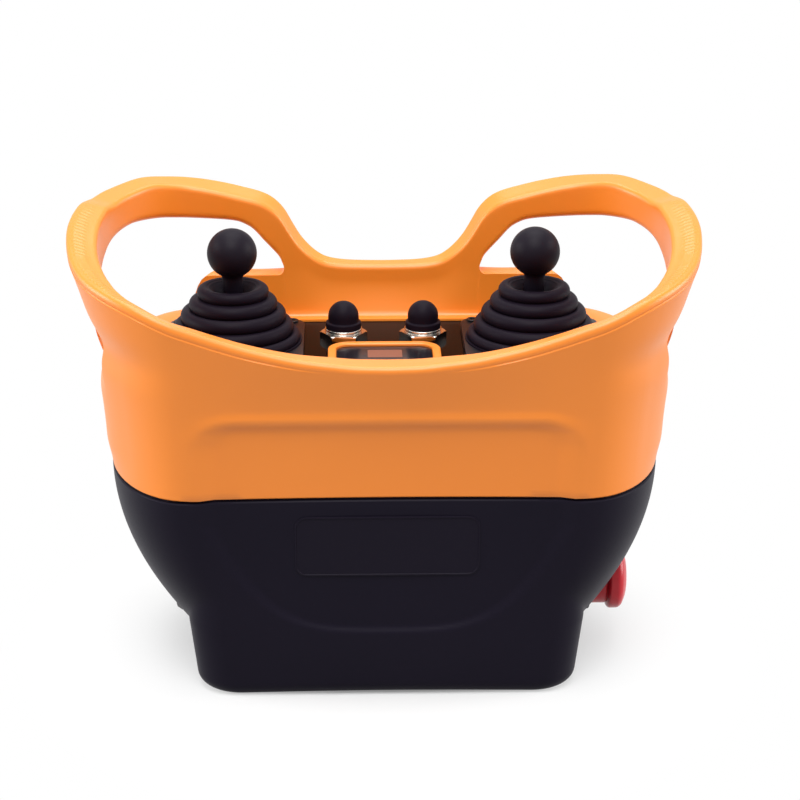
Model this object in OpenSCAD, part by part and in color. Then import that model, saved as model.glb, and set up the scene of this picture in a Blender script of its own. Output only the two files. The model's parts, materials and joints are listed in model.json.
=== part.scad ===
// Belly-box radio remote control for a crane: a dark lower case, a flared crown whose side
// bands are the handles, two gimballed joysticks, two sealed push buttons, a small display,
// a mushroom stop switch on the right side and a key switch on the left side.
// Millimetres, +Z up. The origin is the middle of the flat base, and the front faces -Y.

/* [Lower case] */
// Outside width at the seam
case_width = 235; // [220:1:250]
// Outside depth at the seam
case_depth = 126; // [120:1:136]
// Height of the seam above the base
seam_height = 91; // [86:1:96]
// Length of the rounded ends in plan
case_end = 36; // [32:1:40]
// How far the belly draws in at each side, down at the belly level
belly_draw = 33.5; // [30:0.5:38]
// Level at which the belly draw is measured
belly_level = 14; // [13:1:19]
// How far front and back lean in from the seam down to the base
case_draft = 5; // [3:0.5:7]
// Wall thickness
case_wall = 3.5; // [3:0.1:4]
// Floor thickness
floor_wall = 5; // [4.5:0.1:6]

/* [Foot] */
// Width of the foot at the base
foot_width = 161; // [154:0.5:163]
// Gain of the foot's width from base to shoulder
foot_gain = 7; // [4:0.2:9]
// Height of the foot's shoulder
foot_height = 31; // [27:1:35]
// Corner radius of the foot in plan
foot_corner = 16; // [13:1:20]
// Fillet round the base
foot_fillet = 6; // [4:0.5:8]
// Width of the soft blend between belly and foot
foot_blend = 2.5; // [1:0.5:6]

/* [Front panel of the housing] */
// Width of the sunk front panel
recess_width = 164; // [150:1:168]
// Lowest point of its curved lower edge
recess_low = 30.5; // [27:0.5:34]
// Rise of that edge from the middle to the sides
recess_sag = 46; // [40:1:52]
// Level of its top edge
recess_top = 127; // [120:0.5:129]
// Radius of its top corners
recess_corner = 17; // [12:1:20]
// Depth of the sunk panel
recess_depth = 2; // [0.8:0.1:2.4]
// Width of its bevel
recess_bevel = 5; // [3:0.5:6]
// Hollow of the front face at the middle
bow_depth = 1.5; // [0.5:0.1:2]

/* [Crown] */
// Flare of the rim beyond the case at each side
rim_flare_side = 16.8; // [12:0.2:20]
// Flare of the rim beyond the case at front and back
rim_flare_front = 5; // [3:0.5:7]
// Length of the rim's rounded ends in plan
rim_end = 50; // [46:1:54]
// Level of the rim at the front
rim_front_level = 153.1; // [148:0.1:155]
// Level of the rim at the back
rim_rear_level = 156.5; // [155:0.5:159]
// Level of the top of the handles
handle_level = 197; // [190:0.5:202]
// Fall of the handles from there towards the dip
handle_fall = 4; // [1:0.5:5]
// Bulge of the side walls under the hands
side_bulge = 1.8; // [1:0.2:3]
// Thickness of the band beside the hands
band_side = 11.4; // [10:0.2:13]
// Thickness of the band in front
band_front = 14; // [12:0.5:15]
// Thickness of the band at the back
band_back = 11.5; // [10.5:0.5:12.5]
// Length of the band's rounded ends inside
band_end = 60; // [56:1:64]
// Fall of the band's top face towards the inside
rim_fall = 3; // [1:0.5:4]
// Radius of the band's edges
band_edge = 3; // [2:0.5:4]
// Wall of the crown below the panel
crown_wall = 4; // [3.5:0.1:5]

/* [Handle windows] */
// Level of the side walls under the hands
side_wall_level = 134.8; // [134.4:0.1:138]
// Level of the back wall under the windows
back_wall_level = 153; // [150:0.5:154]
// Level of the windows' front ends
window_front_level = 141; // [139:0.5:143]
// Level of the band's underside at the back corners
window_top_level = 178.3; // [174:0.1:181]
// Level to which the underside comes down at the windows' rear ends
window_rear_level = 154.3; // [153:0.1:157]
// Rounding of the side walls' top, sideways
side_round = 6; // [4:0.5:8]
// Rounding of the back wall's top, sideways
back_round = 3; // [2:0.5:4]

/* [Control panel] */
// Width of the case wall and shelf beside the panel
panel_margin_side = 21.5; // [20:0.5:24]
// Width of the wall and shelf before and behind the panel
panel_margin_front = 13; // [12.5:0.5:15]
// Corner radius of the panel
panel_corner = 12; // [10:0.5:14]
// Thickness of the panel
panel_thick = 3; // [2.5:0.1:4]
// Level of the panel's top face
panel_level = 132; // [130:0.5:132.5]
// Drop from the shelf round the panel to the panel's face
shelf_drop = 1; // [0.5:0.1:1.5]
// Width of the shelf round the panel
shelf_width = 5.5; // [4.5:0.1:6]
// Width of the lip that carries the panel
lip_width = 2; // [1.5:0.1:2.5]
// Thickness of that lip
lip_thick = 2.6; // [2:0.1:3]
// Thickness of the seal under the panel
panel_seal_thick = 0.6; // [0.4:0.1:0.8]
// Thickness of the seal in the seam
gasket_thick = 1.2; // [0.8:0.1:1.6]
// How far the seam seal stays inside the outer face
gasket_inset = 0.8; // [0.4:0.1:1.2]
// Width of the seam seal
gasket_width = 2; // [1.5:0.1:2.4]

/* [Joysticks] */
// Distance between the two sticks
stick_spacing = 130; // [126:1:132]
// Distance of the sticks behind the middle
stick_back = 16; // [12:0.5:18]
// Level of the gimbal's axes
pivot_level = 123; // [122:0.5:124]
// Radius of the ball knob
ball_radius = 10.7; // [10:0.1:12]
// Level of the ball's centre
ball_level = 174; // [170:0.5:178]
// Radius of the stem
stem_radius = 4.2; // [3.5:0.1:4.6]
// Side of the square clamp frame over the panel
clamp_size = 61; // [60:0.5:61.5]
// Corner radius of the clamp frame
clamp_corner = 8; // [6:0.5:10]
// Thickness of the clamp frame
clamp_thick = 3; // [2:0.1:4]
// Distance of its screws from the stick, along each side
clamp_screw_reach = 25; // [24:0.1:25.5]
// Outer radius of the boot at its foot
boot_foot_radius = 29.5; // [28:0.5:30]
// Outer radius of the boot's collar
boot_lip_radius = 15.2; // [14:0.2:17]
// Level of the boot's collar
boot_lip_level = 155.5; // [153:0.5:158]
// Number of folds in the boot
boot_folds = 4; // [3:1:5]
// Depth of one fold
fold_depth = 2.6; // [1.5:0.1:3]
// Wall of the boot
boot_wall = 1.5; // [1:0.1:2]
// Tilt of a stick each way, in degrees
stick_tilt = 20; // [10:1:20]

/* [Push buttons] */
// Distance between the two buttons
button_spacing = 34.8; // [33:0.2:37]
// Distance of the buttons behind the middle
button_back = 26; // [24:0.5:30]
// Width of the hexagon nut across its flats
nut_flats = 18; // [17:0.5:18.5]
// Thickness of the nut
nut_thick = 2.6; // [2:0.1:3.5]
// Radius of the threaded bush
bush_radius = 6; // [5.5:0.1:6.5]
// Radius of the bright collar
collar_radius = 8; // [7.6:0.1:8.4]
// Height of the bright collar
collar_height = 3; // [2.5:0.1:4]
// Radius of the rubber cap's foot
cap_foot_radius = 7.7; // [7.2:0.1:7.9]
// Height of the rubber cap's foot
cap_foot_height = 2; // [1.5:0.1:3]
// Radius of the rubber dome
dome_radius = 6.7; // [6:0.1:7]
// Height of the whole rubber cap
cap_height = 11.4; // [10:0.2:13]
// Radius of the plunger
plunger_radius = 4; // [3.5:0.1:4.2]
// Travel of a button
button_travel = 2.5; // [1.5:0.1:3]

/* [Display] */
// Width of the display frame
frame_width = 48.5; // [46:0.5:50]
// Depth of the display frame
frame_depth = 36; // [33:0.5:38]
// Distance of the display before the middle
frame_forward = 4; // [2:0.5:6]
// Corner radius of the display frame
frame_corner = 9.5; // [8:0.5:11]
// Width of the frame's band
frame_band = 3.6; // [3:0.1:4.5]
// Height of the frame over the panel
frame_height = 1.8; // [1.2:0.1:2.5]
// Thickness of the display window
window_glass = 1.2; // [0.8:0.1:1.5]
// Ledge of the panel under the window
glass_ledge = 2; // [1.5:0.1:2.5]
// Thickness of the display module
module_thick = 8; // [6:0.5:10]

/* [Side switches] */
// Radius of the round pocket in each flank
pocket_radius = 19; // [18:0.5:20]
// Distance of the pocket's face from the middle
pocket_face = 86; // [85:0.5:87]
// Level of the side switches' axis
switch_level = 29; // [27:0.5:31]
// Radius of the stop switch's neck
stop_neck_radius = 12.4; // [12:0.1:13]
// Radius of the mushroom head
stop_head_radius = 14.7; // [14:0.1:16]
// Distance of the mushroom's outer face from the pocket
stop_reach = 21.6; // [20:0.2:23]
// Thickness of the mushroom head, crown included
stop_head_thick = 9.6; // [8:0.2:11]
// Travel of the stop switch
stop_travel = 3.6; // [3:0.1:3.6]
// Radius of the stop switch's shaft
stop_shaft_radius = 5; // [4.5:0.1:5.5]
// Radius of the key switch's ring
key_ring_radius = 14; // [13:0.1:15]
// How far that ring stands off the pocket
key_ring_reach = 6; // [5:0.2:7]
// Radius of the key rotor
key_rotor_radius = 8.5; // [8:0.1:9]

/* [Inside] */
// Length of the battery
battery_length = 76; // [70:1:78]
// Width of the battery
battery_width = 44; // [40:1:46]
// Height of the battery
battery_height = 32; // [28:1:34]
// Length of the main board
board_length = 124; // [116:1:126]
// Width of the main board
board_width = 70; // [64:1:71]
// Thickness of the main board
board_thick = 1.6; // [1.2:0.1:2]
// Level of the main board
board_level = 64; // [60:1:70]

/* [Label] */
// Width of the label plate
label_width = 77; // [70:1:84]
// Height of the label plate
label_height = 26.5; // [20:0.5:28]
// Level of the label plate's middle
label_level = 69.5; // [62:0.5:71]
// Thickness of the label plate
label_thick = 0.8; // [0.6:0.1:1.2]

/* [Hidden] */
$fn = 64;

// Curves of a hull's children, and stations and turns of the housing's skins
hull_fn = 20;
stations = 96;
turn = 360;
step_angle = turn / stations;

// Overrun of every cut
over = 1;
// Gap round a piece that seats in another
seat_gap = 0.3;
// Radial clearance of a pin or plunger that runs in its bore
run_gap = 0.05;
// Radial clearance of a screw or bush in its hole
hole_gap = 0.1;

case_hw = case_width / 2;
case_hd = case_depth / 2;
rim_hw = case_hw + rim_flare_side;
rim_hd = case_hd + rim_flare_front;
flare_power = 2.1;
case_top = seam_height - gasket_thick / 2;
crown_base = seam_height + gasket_thick / 2;

// Directions, in degrees from the front, between which the rim rises and dips again
rise_span = [23, 113];
dip_span = [134, 161];
slope_span = [112, 140];
// Directions of the windows' ends, of the slope of their upper edge and of their lower edge
window_span = [70, 143];
window_rise_span = [62, 110];
window_fall_span = [129, 146];
wall_rise_span = [124, 131];
bulge_span = [58, 74];
bulge_end_span = [118, 134];
back_round_span = [112, 130];

panel_hw = case_hw - panel_margin_side;
panel_hd = case_hd - panel_margin_front;
panel_under = panel_level - panel_thick;
shelf_level = panel_level + shelf_drop;
shelf_hw = panel_hw + shelf_width;
shelf_hd = panel_hd + shelf_width;
shelf_end = 24;
wall_lean = 1.2;
bulge_share = 0.3;
round_share = 0.28;
band_lean_share = 0.6;
fall_share = 0.35;
lip_top = panel_under - panel_seal_thick;
lip_under = lip_top - lip_thick;
gusset_drop = 6;
gusset_level = lip_under - gusset_drop;

recess_hw = recess_width / 2;
least_side_share = 0.1;
bow_hw = recess_hw * 1.04;
bow_span_shares = [0.17, 0.66];
bow_fade = rim_front_level - recess_top;
pocket_wall = 5.5;
flank_free_level = switch_level + pocket_radius * 1.13;
flank_slope = 16;
cover_thick = 2.5;
cover_size = [92, 54];
hatch_size = [80, 48];

stick_x = stick_spacing / 2;
button_x = button_spacing / 2;
clamp_top = panel_level + clamp_thick;
stick_hole_radius = 16.4;
thread_radius = 1.5;
screw_head_radius = 2.7;
screw_head_height = 1.6;
head_rim_share = 0.6;
head_top_share = 0.7;
clamp_screw_length = 9.6;

housing_plate = 56;
housing_plate_thick = 3;
housing_plate_corner = 6;
housing_radius = 20;
housing_bore = 16.2;
housing_depth = 26;
housing_floor = 2;
gimbal_pin_radius = 2;
gimbal_pin_end = 19;
yoke_outer = 13;
yoke_inner = 9.3;
yoke_half_height = 4;
hub_radius = 4.5;
hub_half_length = 7.4;
lever_pin_end = 12.4;
tail_radius = 3;
tail_length = 10;

boot_throat_radius = stem_radius + seat_gap;
boot_split_share = 0.45;

switch_body_radius = 9;
switch_body_length = 22;
bush_top = panel_level + nut_thick + collar_height;
cap_wall = 1.3;
cap_gap = 0.4;
plunger_depth = 27.5;
groove_shares = [0.3, 0.42, 0.58, 0.7, 0.9];
groove_depth_share = 0.93;
collar_top_share = 0.97;

frame_y = -frame_forward;
glass_hw = frame_width / 2 - frame_band;
glass_hd = frame_depth / 2 - frame_band;
glass_corner = frame_corner - frame_band;

stop_bush_radius = 8;
stop_ring_radius = 15;
stop_ring_height = 4.6;
stop_nut_flats = 21;
stop_nut_thick = 3;
stop_neck_length = 6.9;
stop_disc_thick = 1.2;
mushroom_rim_share = 0.55;
mushroom_seat_share = 0.94;
mushroom_edge_share = 0.3;
dome_steps = 6;
stop_bush_length = 10;
stop_shaft_length = 36;
stop_shaft_cover = 4;
stop_block_size = [22, 26, 26];
block_bore_depth = 14;
key_barrel_wall = 1.2;
key_barrel_radius = key_rotor_radius + key_barrel_wall;
key_barrel_length = 12;
ring_rim_share = 0.6;
ring_top_share = 0.86;
key_rotor_length = 26;
key_nut_flats = 22;
key_nut_thick = 3;
key_block_size = [22, 22, 22];
key_slot_width = 2;
key_slot_length = 10;
key_slot_depth = 3;

label_sink_share = 0.3;
frame_step_share = 0.55;
holder_wall = 2;
cover_sink = 0.2;
cover_screw_x = 43;
cover_screw_radius = 1.2;
cover_screw_head = 2.2;
cover_screw_length = 4.4;
contact_size = [24, 30, 3];
screw_column_x = 62;
screw_column_y = 44;
column_radius = 6;
post_inset = [8, 5];
post_x = board_length / 2 - post_inset[0];
post_y = board_width / 2 - post_inset[1];
post_radius = 3.5;
case_screw_radius = 2;
case_screw_head_radius = 3.8;
case_screw_head_height = 3;
case_screw_sink = 12;
case_screw_top = 110;

board_screw_length = 9;
antenna_radius = 3.5;
antenna_height = 24;
antenna_inset = [10, 13];

// Colours as the object shows them
amber = "#f59a45";
graphite = "#26232b";
rubber_black = "#1d1b20";
glossy_black = "#2a1a16";
stop_red = "#c81e32";
bright_steel = "#c8ccd0";
board_green = "#2f6b45";
smoke_glass = "#15151a";
battery_grey = "#5b6068";

// Share, from 0 to 1, of the way from one value to another, with eased ends
function ease(value, span) =
    let (t = min(max((value - span[0]) / (span[1] - span[0]), 0), 1)) t * t * (3 - 2 * t);

// Greater of two values, softened where they meet
function soft_max(a, b, width) = (a + b + sqrt(pow(a - b, 2) + pow(width / 2, 2))) / 2;

// Direction of a station, folded onto one half: 0 is the front and 180 the back
function heading(i) = let (a = i * step_angle) a > turn / 2 ? turn - a : a;

// Distance from the axis to an outline with flat long sides and elliptical ends
function stadium(a, hw, hd, end) =
    let (
        side = abs(sin(a)), ahead = abs(cos(a)), flat = hw - end,
        qa = pow(side / end, 2) + pow(ahead / hd, 2),
        qb = -2 * side * flat / pow(end, 2),
        qc = pow(flat / end, 2) - 1
    )
    side * hd <= flat * ahead ? hd / ahead
                              : (-qb + sqrt(max(qb * qb - 4 * qa * qc, 0))) / (2 * qa);

// Distance from the axis to a rectangle with round corners
function round_box(a, hw, hd, corner) =
    let (
        side = abs(sin(a)), ahead = abs(cos(a)), cx = hw - corner, cy = hd - corner,
        along = cx * side + cy * ahead
    )
    side * hd <= cx * ahead ? hd / ahead
    : ahead * hw <= cy * side ? hw / side
    : along + sqrt(max(along * along - cx * cx - cy * cy + corner * corner, 0));

// Place of a point of a skin: direction of its station, distance from the axis, level
function at(i, r, z) = [r * sin(i * step_angle), -r * cos(i * step_angle), z];

// Depth of the sunk front panel, with a bevel along its curved lower edge and round corners
function recess(x, z) =
    let (
        rise = recess_sag * pow(x / recess_hw, 2),
        slope = 2 * recess_sag * x / pow(recess_hw, 2),
        from_low = (z - recess_low - rise) / sqrt(1 + slope * slope),
        from_side = recess_hw - abs(x),
        from_top = recess_top - z,
        nook = from_side < recess_corner && from_top < recess_corner
             ? recess_corner - norm([recess_corner - from_side, recess_corner - from_top])
             : min(from_side, from_top)
    )
    recess_depth * ease(min(from_low, nook), [0, recess_bevel]);

// Hollow of the front face, which fades towards the base, the rim and the sides
function bow(x, z) =
    bow_depth * max(1 - pow(x / bow_hw, 2), 0)
    * ease(z, [seam_height * bow_span_shares[0], seam_height * bow_span_shares[1]])
    * (1 - ease(z, [recess_top, recess_top + bow_fade]));

// Distance r with the front's panel and hollow taken off
function relieved(i, r, z) =
    let (a = i * step_angle, x = r * sin(a))
    cos(a) > least_side_share ? r - (recess(x, z) + bow(x, z)) / cos(a) : r;

// Outer distance of the lower case, less an inset of the walls
function case_r(i, z, inset, inset_front) =
    let (
        a = i * step_angle,
        down = (seam_height - z) / (seam_height - belly_level),
        hd = case_hd - case_draft * (1 - z / seam_height) - inset_front,
        belly = stadium(a, case_hw - belly_draw * down * down - inset, hd,
                        case_end + foot_corner * down * down / 2 - inset),
        foot = round_box(a, (foot_width + foot_gain * min(z / foot_height, 1)) / 2 - inset, hd,
                         foot_corner - inset)
    )
    z >= seam_height - gasket_thick ? stadium(a, case_hw - inset, hd, case_end - inset)
                                    : soft_max(belly, foot, foot_blend * pow(sin(a), 2) * min(down, 1));

// Level of the rim: low in front, high at the handles, with a dip at the back
function rim_level(i) =
    let (
        d = heading(i),
        rise = rim_front_level + (handle_level - rim_front_level) * ease(d, rise_span)
             - handle_fall * ease(d, slope_span),
        dip = ease(d, dip_span)
    )
    rise * (1 - dip) + rim_rear_level * dip;

// Outer distance of the crown at a level, less an inset
function crown_r(i, z, inset) =
    let (
        a = i * step_angle,
        up = max((z - seam_height) / (rim_level(i) - seam_height), 0),
        low = stadium(a, case_hw - inset, case_hd - inset, case_end - inset),
        high = stadium(a, rim_hw - inset, rim_hd - inset, rim_end - inset)
    )
    low + (high - low) * pow(up, flare_power);

// Lower and upper edge of the handle windows
function window_floor(i) =
    side_wall_level
    + (back_wall_level - side_wall_level) * ease(heading(i), wall_rise_span);
function window_roof(i) =
    let (d = heading(i))
    window_front_level
    + (window_top_level - window_front_level) * ease(d, window_rise_span)
    - (window_top_level - window_rear_level) * ease(d, window_fall_span);
function in_window(i) =
    let (d = heading(i)) d >= window_span[0] && d <= window_span[1];

// Closed section of the crown at one station, as distance and level: up the outside, over
// the rim, down the inside, out along the shelf, round the lip and back to the seam
window_row = 6;
roof_row = window_row + 1;
function crown_section(i) =
    let (
        a = i * step_angle,
        d = heading(i),
        open = in_window(i) ? 1 : 0,
        rim = rim_level(i),
        floor_z = min(window_floor(i), rim - band_floor_share * band_edge),
        roof_z = max(min(window_roof(i), rim - band_roof_share * band_edge),
                     floor_z + band_edge / band_floor_share),
        rounding = open * (side_round + (back_round - side_round) * ease(d, back_round_span)),
        round_from = floor_z - (floor_z - seam_height) * round_share,
        drop = function(z)
            rounding * (1 - sqrt(1 - pow(max(z - round_from, 0) / (floor_z - round_from), 2))),
        levels = [
            crown_base,
            for (share = crown_level_shares) crown_base + (floor_z - crown_base) * share
        ],
        bulge = function(z)
            side_bulge * ease(d, bulge_span) * (1 - ease(d, bulge_end_span))
            * ease(z, [seam_height, seam_height + (side_wall_level - seam_height) * bulge_share]),
        edge = open * band_edge,
        opening_r = round_box(a, panel_hw + seat_gap, panel_hd + seat_gap, panel_corner + seat_gap),
        lip_r = round_box(a, panel_hw - lip_width, panel_hd - lip_width, panel_corner - lip_width),
        shelf_r = stadium(a, shelf_hw, shelf_hd, shelf_end),
        wall_r = stadium(a, shelf_hw + wall_lean, shelf_hd + wall_lean, shelf_end + wall_lean),
        band_r = function(z)
            stadium(a, rim_hw - band_side, rim_hd - (cos(a) > 0 ? band_front : band_back), band_end)
            - (crown_r(i, rim, 0) - crown_r(i, z, 0)) * band_lean_share,
        roof_r = function(z) open == 1 ? band_r(z) : max(band_r(z), wall_r),
        fall = rim_fall * (fall_share + (1 - fall_share) * ease(d, rise_span)),
        hollow_r = stadium(a, case_hw - crown_wall, case_hd - hollow_front, case_end - crown_wall)
    )
    concat(
        [for (z = levels) [relieved(i, crown_r(i, z, 0), z) + bulge(z) - drop(z), z]],
        [
            [crown_r(i, roof_z, 0) - edge, roof_z],
            [crown_r(i, roof_z + edge, 0), roof_z + edge],
            [crown_r(i, rim - band_edge, 0), rim - band_edge],
            [crown_r(i, rim, 0) - band_edge * corner_share, rim - band_edge * corner_share],
            [crown_r(i, rim, 0) - band_edge, rim],
            [band_r(rim) + band_edge * inner_share, rim - fall * inner_share],
            [band_r(rim), rim - fall - band_edge * (1 - corner_share)],
            [roof_r(roof_z + edge), roof_z + edge],
            [roof_r(roof_z) + edge, roof_z],
            [wall_r, floor_z - wall_lean],
            [shelf_r, shelf_level],
            [opening_r, shelf_level],
            [opening_r, lip_top],
            [lip_r, lip_top],
            [lip_r, lip_under],
            [hollow_r, gusset_level],
            [hollow_r, crown_base]
        ]
    );

// Shares of the band's edge radius at its corners and at the least height of band and wall
corner_share = 0.3;
inner_share = 0.8;
band_floor_share = 3;
band_roof_share = 2.5;

// Share of the height between seam and window at which the crown's outer rings lie
crown_level_shares = [0.2, 0.42, 0.62, 0.78, 0.92, 1];
hollow_front = crown_wall + recess_depth + bow_depth;
crown_rows = len(crown_section(0));
roof_inner_row = roof_row + 8;
wall_inner_row = roof_inner_row + 1;

// Skin of the crown, swept round the axis, with the window cells left out and lined
module crown_skin() {
    rows = crown_rows;
    points = [for (i = [0:stations - 1]) for (p = crown_section(i)) at(i, p[0], p[1])];
    spot = function(i, k) ((i + stations) % stations) * rows + ((k + rows) % rows);
    quad = function(a, b, c, d) [[a, b, c], [a, c, d]];
    masked = function(i, k)
        (k == window_row || k == roof_inner_row) && in_window(i) && in_window((i + 1) % stations);
    starts = function(i) in_window(i) && !in_window((i + stations - 1) % stations);
    ends = function(i) in_window(i) && !in_window((i + 1) % stations);
    corners = function(i) [
        spot(i, window_row), spot(i, roof_row), spot(i, roof_inner_row), spot(i, wall_inner_row)
    ];
    polyhedron(points, [
        for (i = [0:stations - 1], k = [0:rows - 1]) if (!masked(i, k))
            for (t = quad(spot(i, k), spot(i, k + 1), spot(i + 1, k + 1), spot(i + 1, k))) t,
        for (i = [0:stations - 1]) if (masked(i, window_row))
            for (t = quad(spot(i, window_row), spot(i, wall_inner_row),
                          spot(i + 1, wall_inner_row), spot(i + 1, window_row))) t,
        for (i = [0:stations - 1]) if (masked(i, window_row))
            for (t = quad(spot(i, roof_inner_row), spot(i, roof_row),
                          spot(i + 1, roof_row), spot(i + 1, roof_inner_row))) t,
        for (i = [0:stations - 1]) if (starts(i))
            for (t = quad(corners(i)[0], corners(i)[1], corners(i)[2], corners(i)[3])) t,
        for (i = [0:stations - 1]) if (ends(i))
            for (t = quad(corners(i)[3], corners(i)[2], corners(i)[1], corners(i)[0])) t
    ]);
}

// Each of the four places of the long case screws
module at_columns() {
    for (x = [-screw_column_x, screw_column_x], y = [-screw_column_y, screw_column_y])
        translate([x, y, 0]) children();
}

// Crown with the bosses that take the long case screws and ribs under the shelf
module crown_housing() color(amber) {
    reach = case_hd - hollow_front - screw_column_y;
    difference() {
        union() {
            crown_skin();
            for (x = [-screw_column_x, screw_column_x], side = [-1, 1])
                hull() {
                    translate([x, side * screw_column_y, crown_base])
                        cylinder(r = column_radius, h = lip_under - crown_base, $fn = hull_fn);
                    translate([x - crown_wall / 2, side * (screw_column_y + reach) - crown_wall / 2,
                               crown_base])
                        cube([crown_wall, crown_wall, lip_under - crown_base]);
                }
            for (x = [-screw_column_x / 2, screw_column_x / 2], side = [-1, 1])
                hull() {
                    translate([x - crown_wall / 2, side * (panel_hd - lip_width) - crown_wall / 2,
                               lip_under - crown_wall])
                        cube([crown_wall, crown_wall, crown_wall + lip_thick / 2]);
                    translate([x - crown_wall / 2, side * (case_hd - hollow_front) - crown_wall / 2,
                               gusset_level - 2 * crown_wall])
                        cube([crown_wall, crown_wall, crown_wall]);
                }
        }
        at_columns() translate([0, 0, crown_base - over])
            cylinder(r = case_screw_radius + run_gap, h = case_screw_top + over - crown_base,
                     $fn = hull_fn);
    }
}
crown_housing();

// Share of the seam's height at which the lower case's outer and inner rings lie
case_level_shares = [0.9, 0.8, 0.7, 0.6, 0.51, 0.43, 0.36, 0.31, 0.26, 0.2, 0.13];
case_inner_shares = [0.8, 0.7, 0.54, 0.3, 0.18];
fillet_shares = [1, 0.4, 0];

// Closed section of the lower case at one station: up the inside, over the top edge, down
// the outside and round the base fillet
function case_section(i) =
    let (
        a = i * step_angle,
        limit = function(z)
            (pocket_face - pocket_wall
             + case_hw * ease(z, [flank_free_level, flank_free_level + flank_slope]))
            / max(abs(sin(a)), least_side_share),
        inner = function(z) min(case_r(i, z, case_wall, hollow_front), limit(z)),
        fillet = function(share) foot_fillet * (1 - sqrt(1 - pow(1 - share, 2)))
    )
    concat(
        [[inner(floor_wall), floor_wall]],
        [for (k = [len(case_inner_shares) - 1:-1:0])
            let (z = seam_height * case_inner_shares[k]) [inner(z), z]],
        [[inner(case_top), case_top], [relieved(i, case_r(i, case_top, 0, 0), case_top), case_top]],
        [for (share = case_level_shares)
            let (z = seam_height * share) [relieved(i, case_r(i, z, 0, 0), z), z]],
        [for (share = fillet_shares)
            let (z = foot_fillet * share) [relieved(i, case_r(i, z, 0, 0), z) - fillet(share), z]]
    );

// Skin of the lower case, swept round the axis and closed at the middle of the floor
module case_skin() {
    rows = len(case_section(0));
    count = stations * rows;
    points = concat(
        [for (i = [0:stations - 1]) for (p = case_section(i)) at(i, p[0], p[1])],
        [[0, 0, floor_wall], [0, 0, 0]]
    );
    spot = function(i, k) (i % stations) * rows + k;
    polyhedron(points, [
        for (i = [0:stations - 1], k = [0:rows - 2]) each [
            [spot(i, k + 1), spot(i, k), spot(i + 1, k)],
            [spot(i, k + 1), spot(i + 1, k), spot(i + 1, k + 1)]
        ],
        for (i = [0:stations - 1]) [spot(i, 0), count, spot(i + 1, 0)],
        for (i = [0:stations - 1]) [spot(i + 1, rows - 1), count + 1, spot(i, rows - 1)]
    ]);
}

// Lower case with its screw columns, board posts, round flank pockets and battery hatch
module lower_case() color(graphite) {
    difference() {
        union() {
            case_skin();
            at_columns() hull() {
                translate([0, 0, floor_wall / 2])
                    cylinder(r = column_radius, h = case_top - floor_wall / 2, $fn = hull_fn);
                translate([-case_wall / 2, -case_wall / 2, floor_wall / 2])
                    cube([case_wall, case_wall, case_top - floor_wall / 2]);
            }
            for (x = [-post_x, post_x], y = [-post_y, post_y]) hull() {
                translate([x, y, floor_wall / 2])
                    cylinder(r1 = post_radius + case_wall / 2, r2 = post_radius,
                             h = board_level - floor_wall / 2, $fn = hull_fn);
                translate([x, y, floor_wall / 2])
                    cylinder(r = post_radius + case_wall, h = floor_wall, $fn = hull_fn);
            }
        }
        for (side = [-1, 1]) translate([side * pocket_face, 0, switch_level])
            rotate([0, side * 90, 0]) cylinder(r = pocket_radius, h = case_hw, $fn = 2 * hull_fn);
        translate([pocket_face - pocket_wall - over, 0, switch_level]) rotate([0, 90, 0])
            cylinder(r = stop_bush_radius + hole_gap, h = pocket_wall + 2 * over);
        translate([-pocket_face - over, 0, switch_level]) rotate([0, 90, 0])
            cylinder(r = key_barrel_radius + hole_gap, h = pocket_wall + 2 * over);
        at_columns() {
            translate([0, 0, -over]) cylinder(r = case_screw_head_radius + seat_gap,
                                              h = case_screw_sink + over, $fn = hull_fn);
            cylinder(r = case_screw_radius + hole_gap, h = seam_height, $fn = hull_fn);
        }
        for (x = [-post_x, post_x], y = [-post_y, post_y])
            translate([x, y, board_level - board_screw_length])
                cylinder(r = thread_radius + hole_gap, h = board_screw_length + over, $fn = hull_fn);
        at_cover_screws()
            cylinder(r = cover_screw_radius + hole_gap, h = floor_wall + over, $fn = hull_fn);
        translate([-hatch_size[0] / 2, -hatch_size[1] / 2, -over])
            cube([hatch_size[0], hatch_size[1], floor_wall + 2 * over]);
        translate([-cover_size[0] / 2 - seat_gap, -cover_size[1] / 2 - seat_gap, -over])
            cube([cover_size[0] + 2 * seat_gap, cover_size[1] + 2 * seat_gap, cover_thick + over]);
    }
}
lower_case();

// Outline of a skin's ring, as points in plan
function ring(radii) = [for (i = [0:stations - 1]) let (p = at(i, radii[i], 0)) [p[0], p[1]]];

// Flat plate with round corners: a cross of two boxes with a cylinder at each corner
module plate(width, depth, corner, thick) {
    translate([-width / 2, -depth / 2 + corner, 0]) cube([width, depth - 2 * corner, thick]);
    translate([-width / 2 + corner, -depth / 2, 0]) cube([width - 2 * corner, depth, thick]);
    for (x = [-1, 1], y = [-1, 1])
        translate([x * (width / 2 - corner), y * (depth / 2 - corner), 0])
            cylinder(r = corner, h = thick);
}

// Hexagon nut with a bore
module hex_nut(flats, bore, thick) {
    difference() {
        cylinder(r = flats / 2 / cos(turn / 12), h = thick, $fn = 6);
        translate([0, 0, -over]) cylinder(r = bore, h = thick + 2 * over);
    }
}

// Pan-head screw: head upwards from the origin, shank downwards
module screw(radius, head_radius, head_height, length) {
    rotate_extrude() polygon([
        [0, -length], [radius, -length], [radius, 0], [head_radius, 0],
        [head_radius, head_height * head_rim_share], [head_radius * head_top_share, head_height],
        [0, head_height]
    ]);
}

// Outline of the seam, less an inset
function seam_edge(inset) = ring([for (i = [0:stations - 1])
    relieved(i, stadium(i * step_angle, case_hw - inset, case_hd - inset, case_end - inset),
             seam_height)]);

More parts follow.
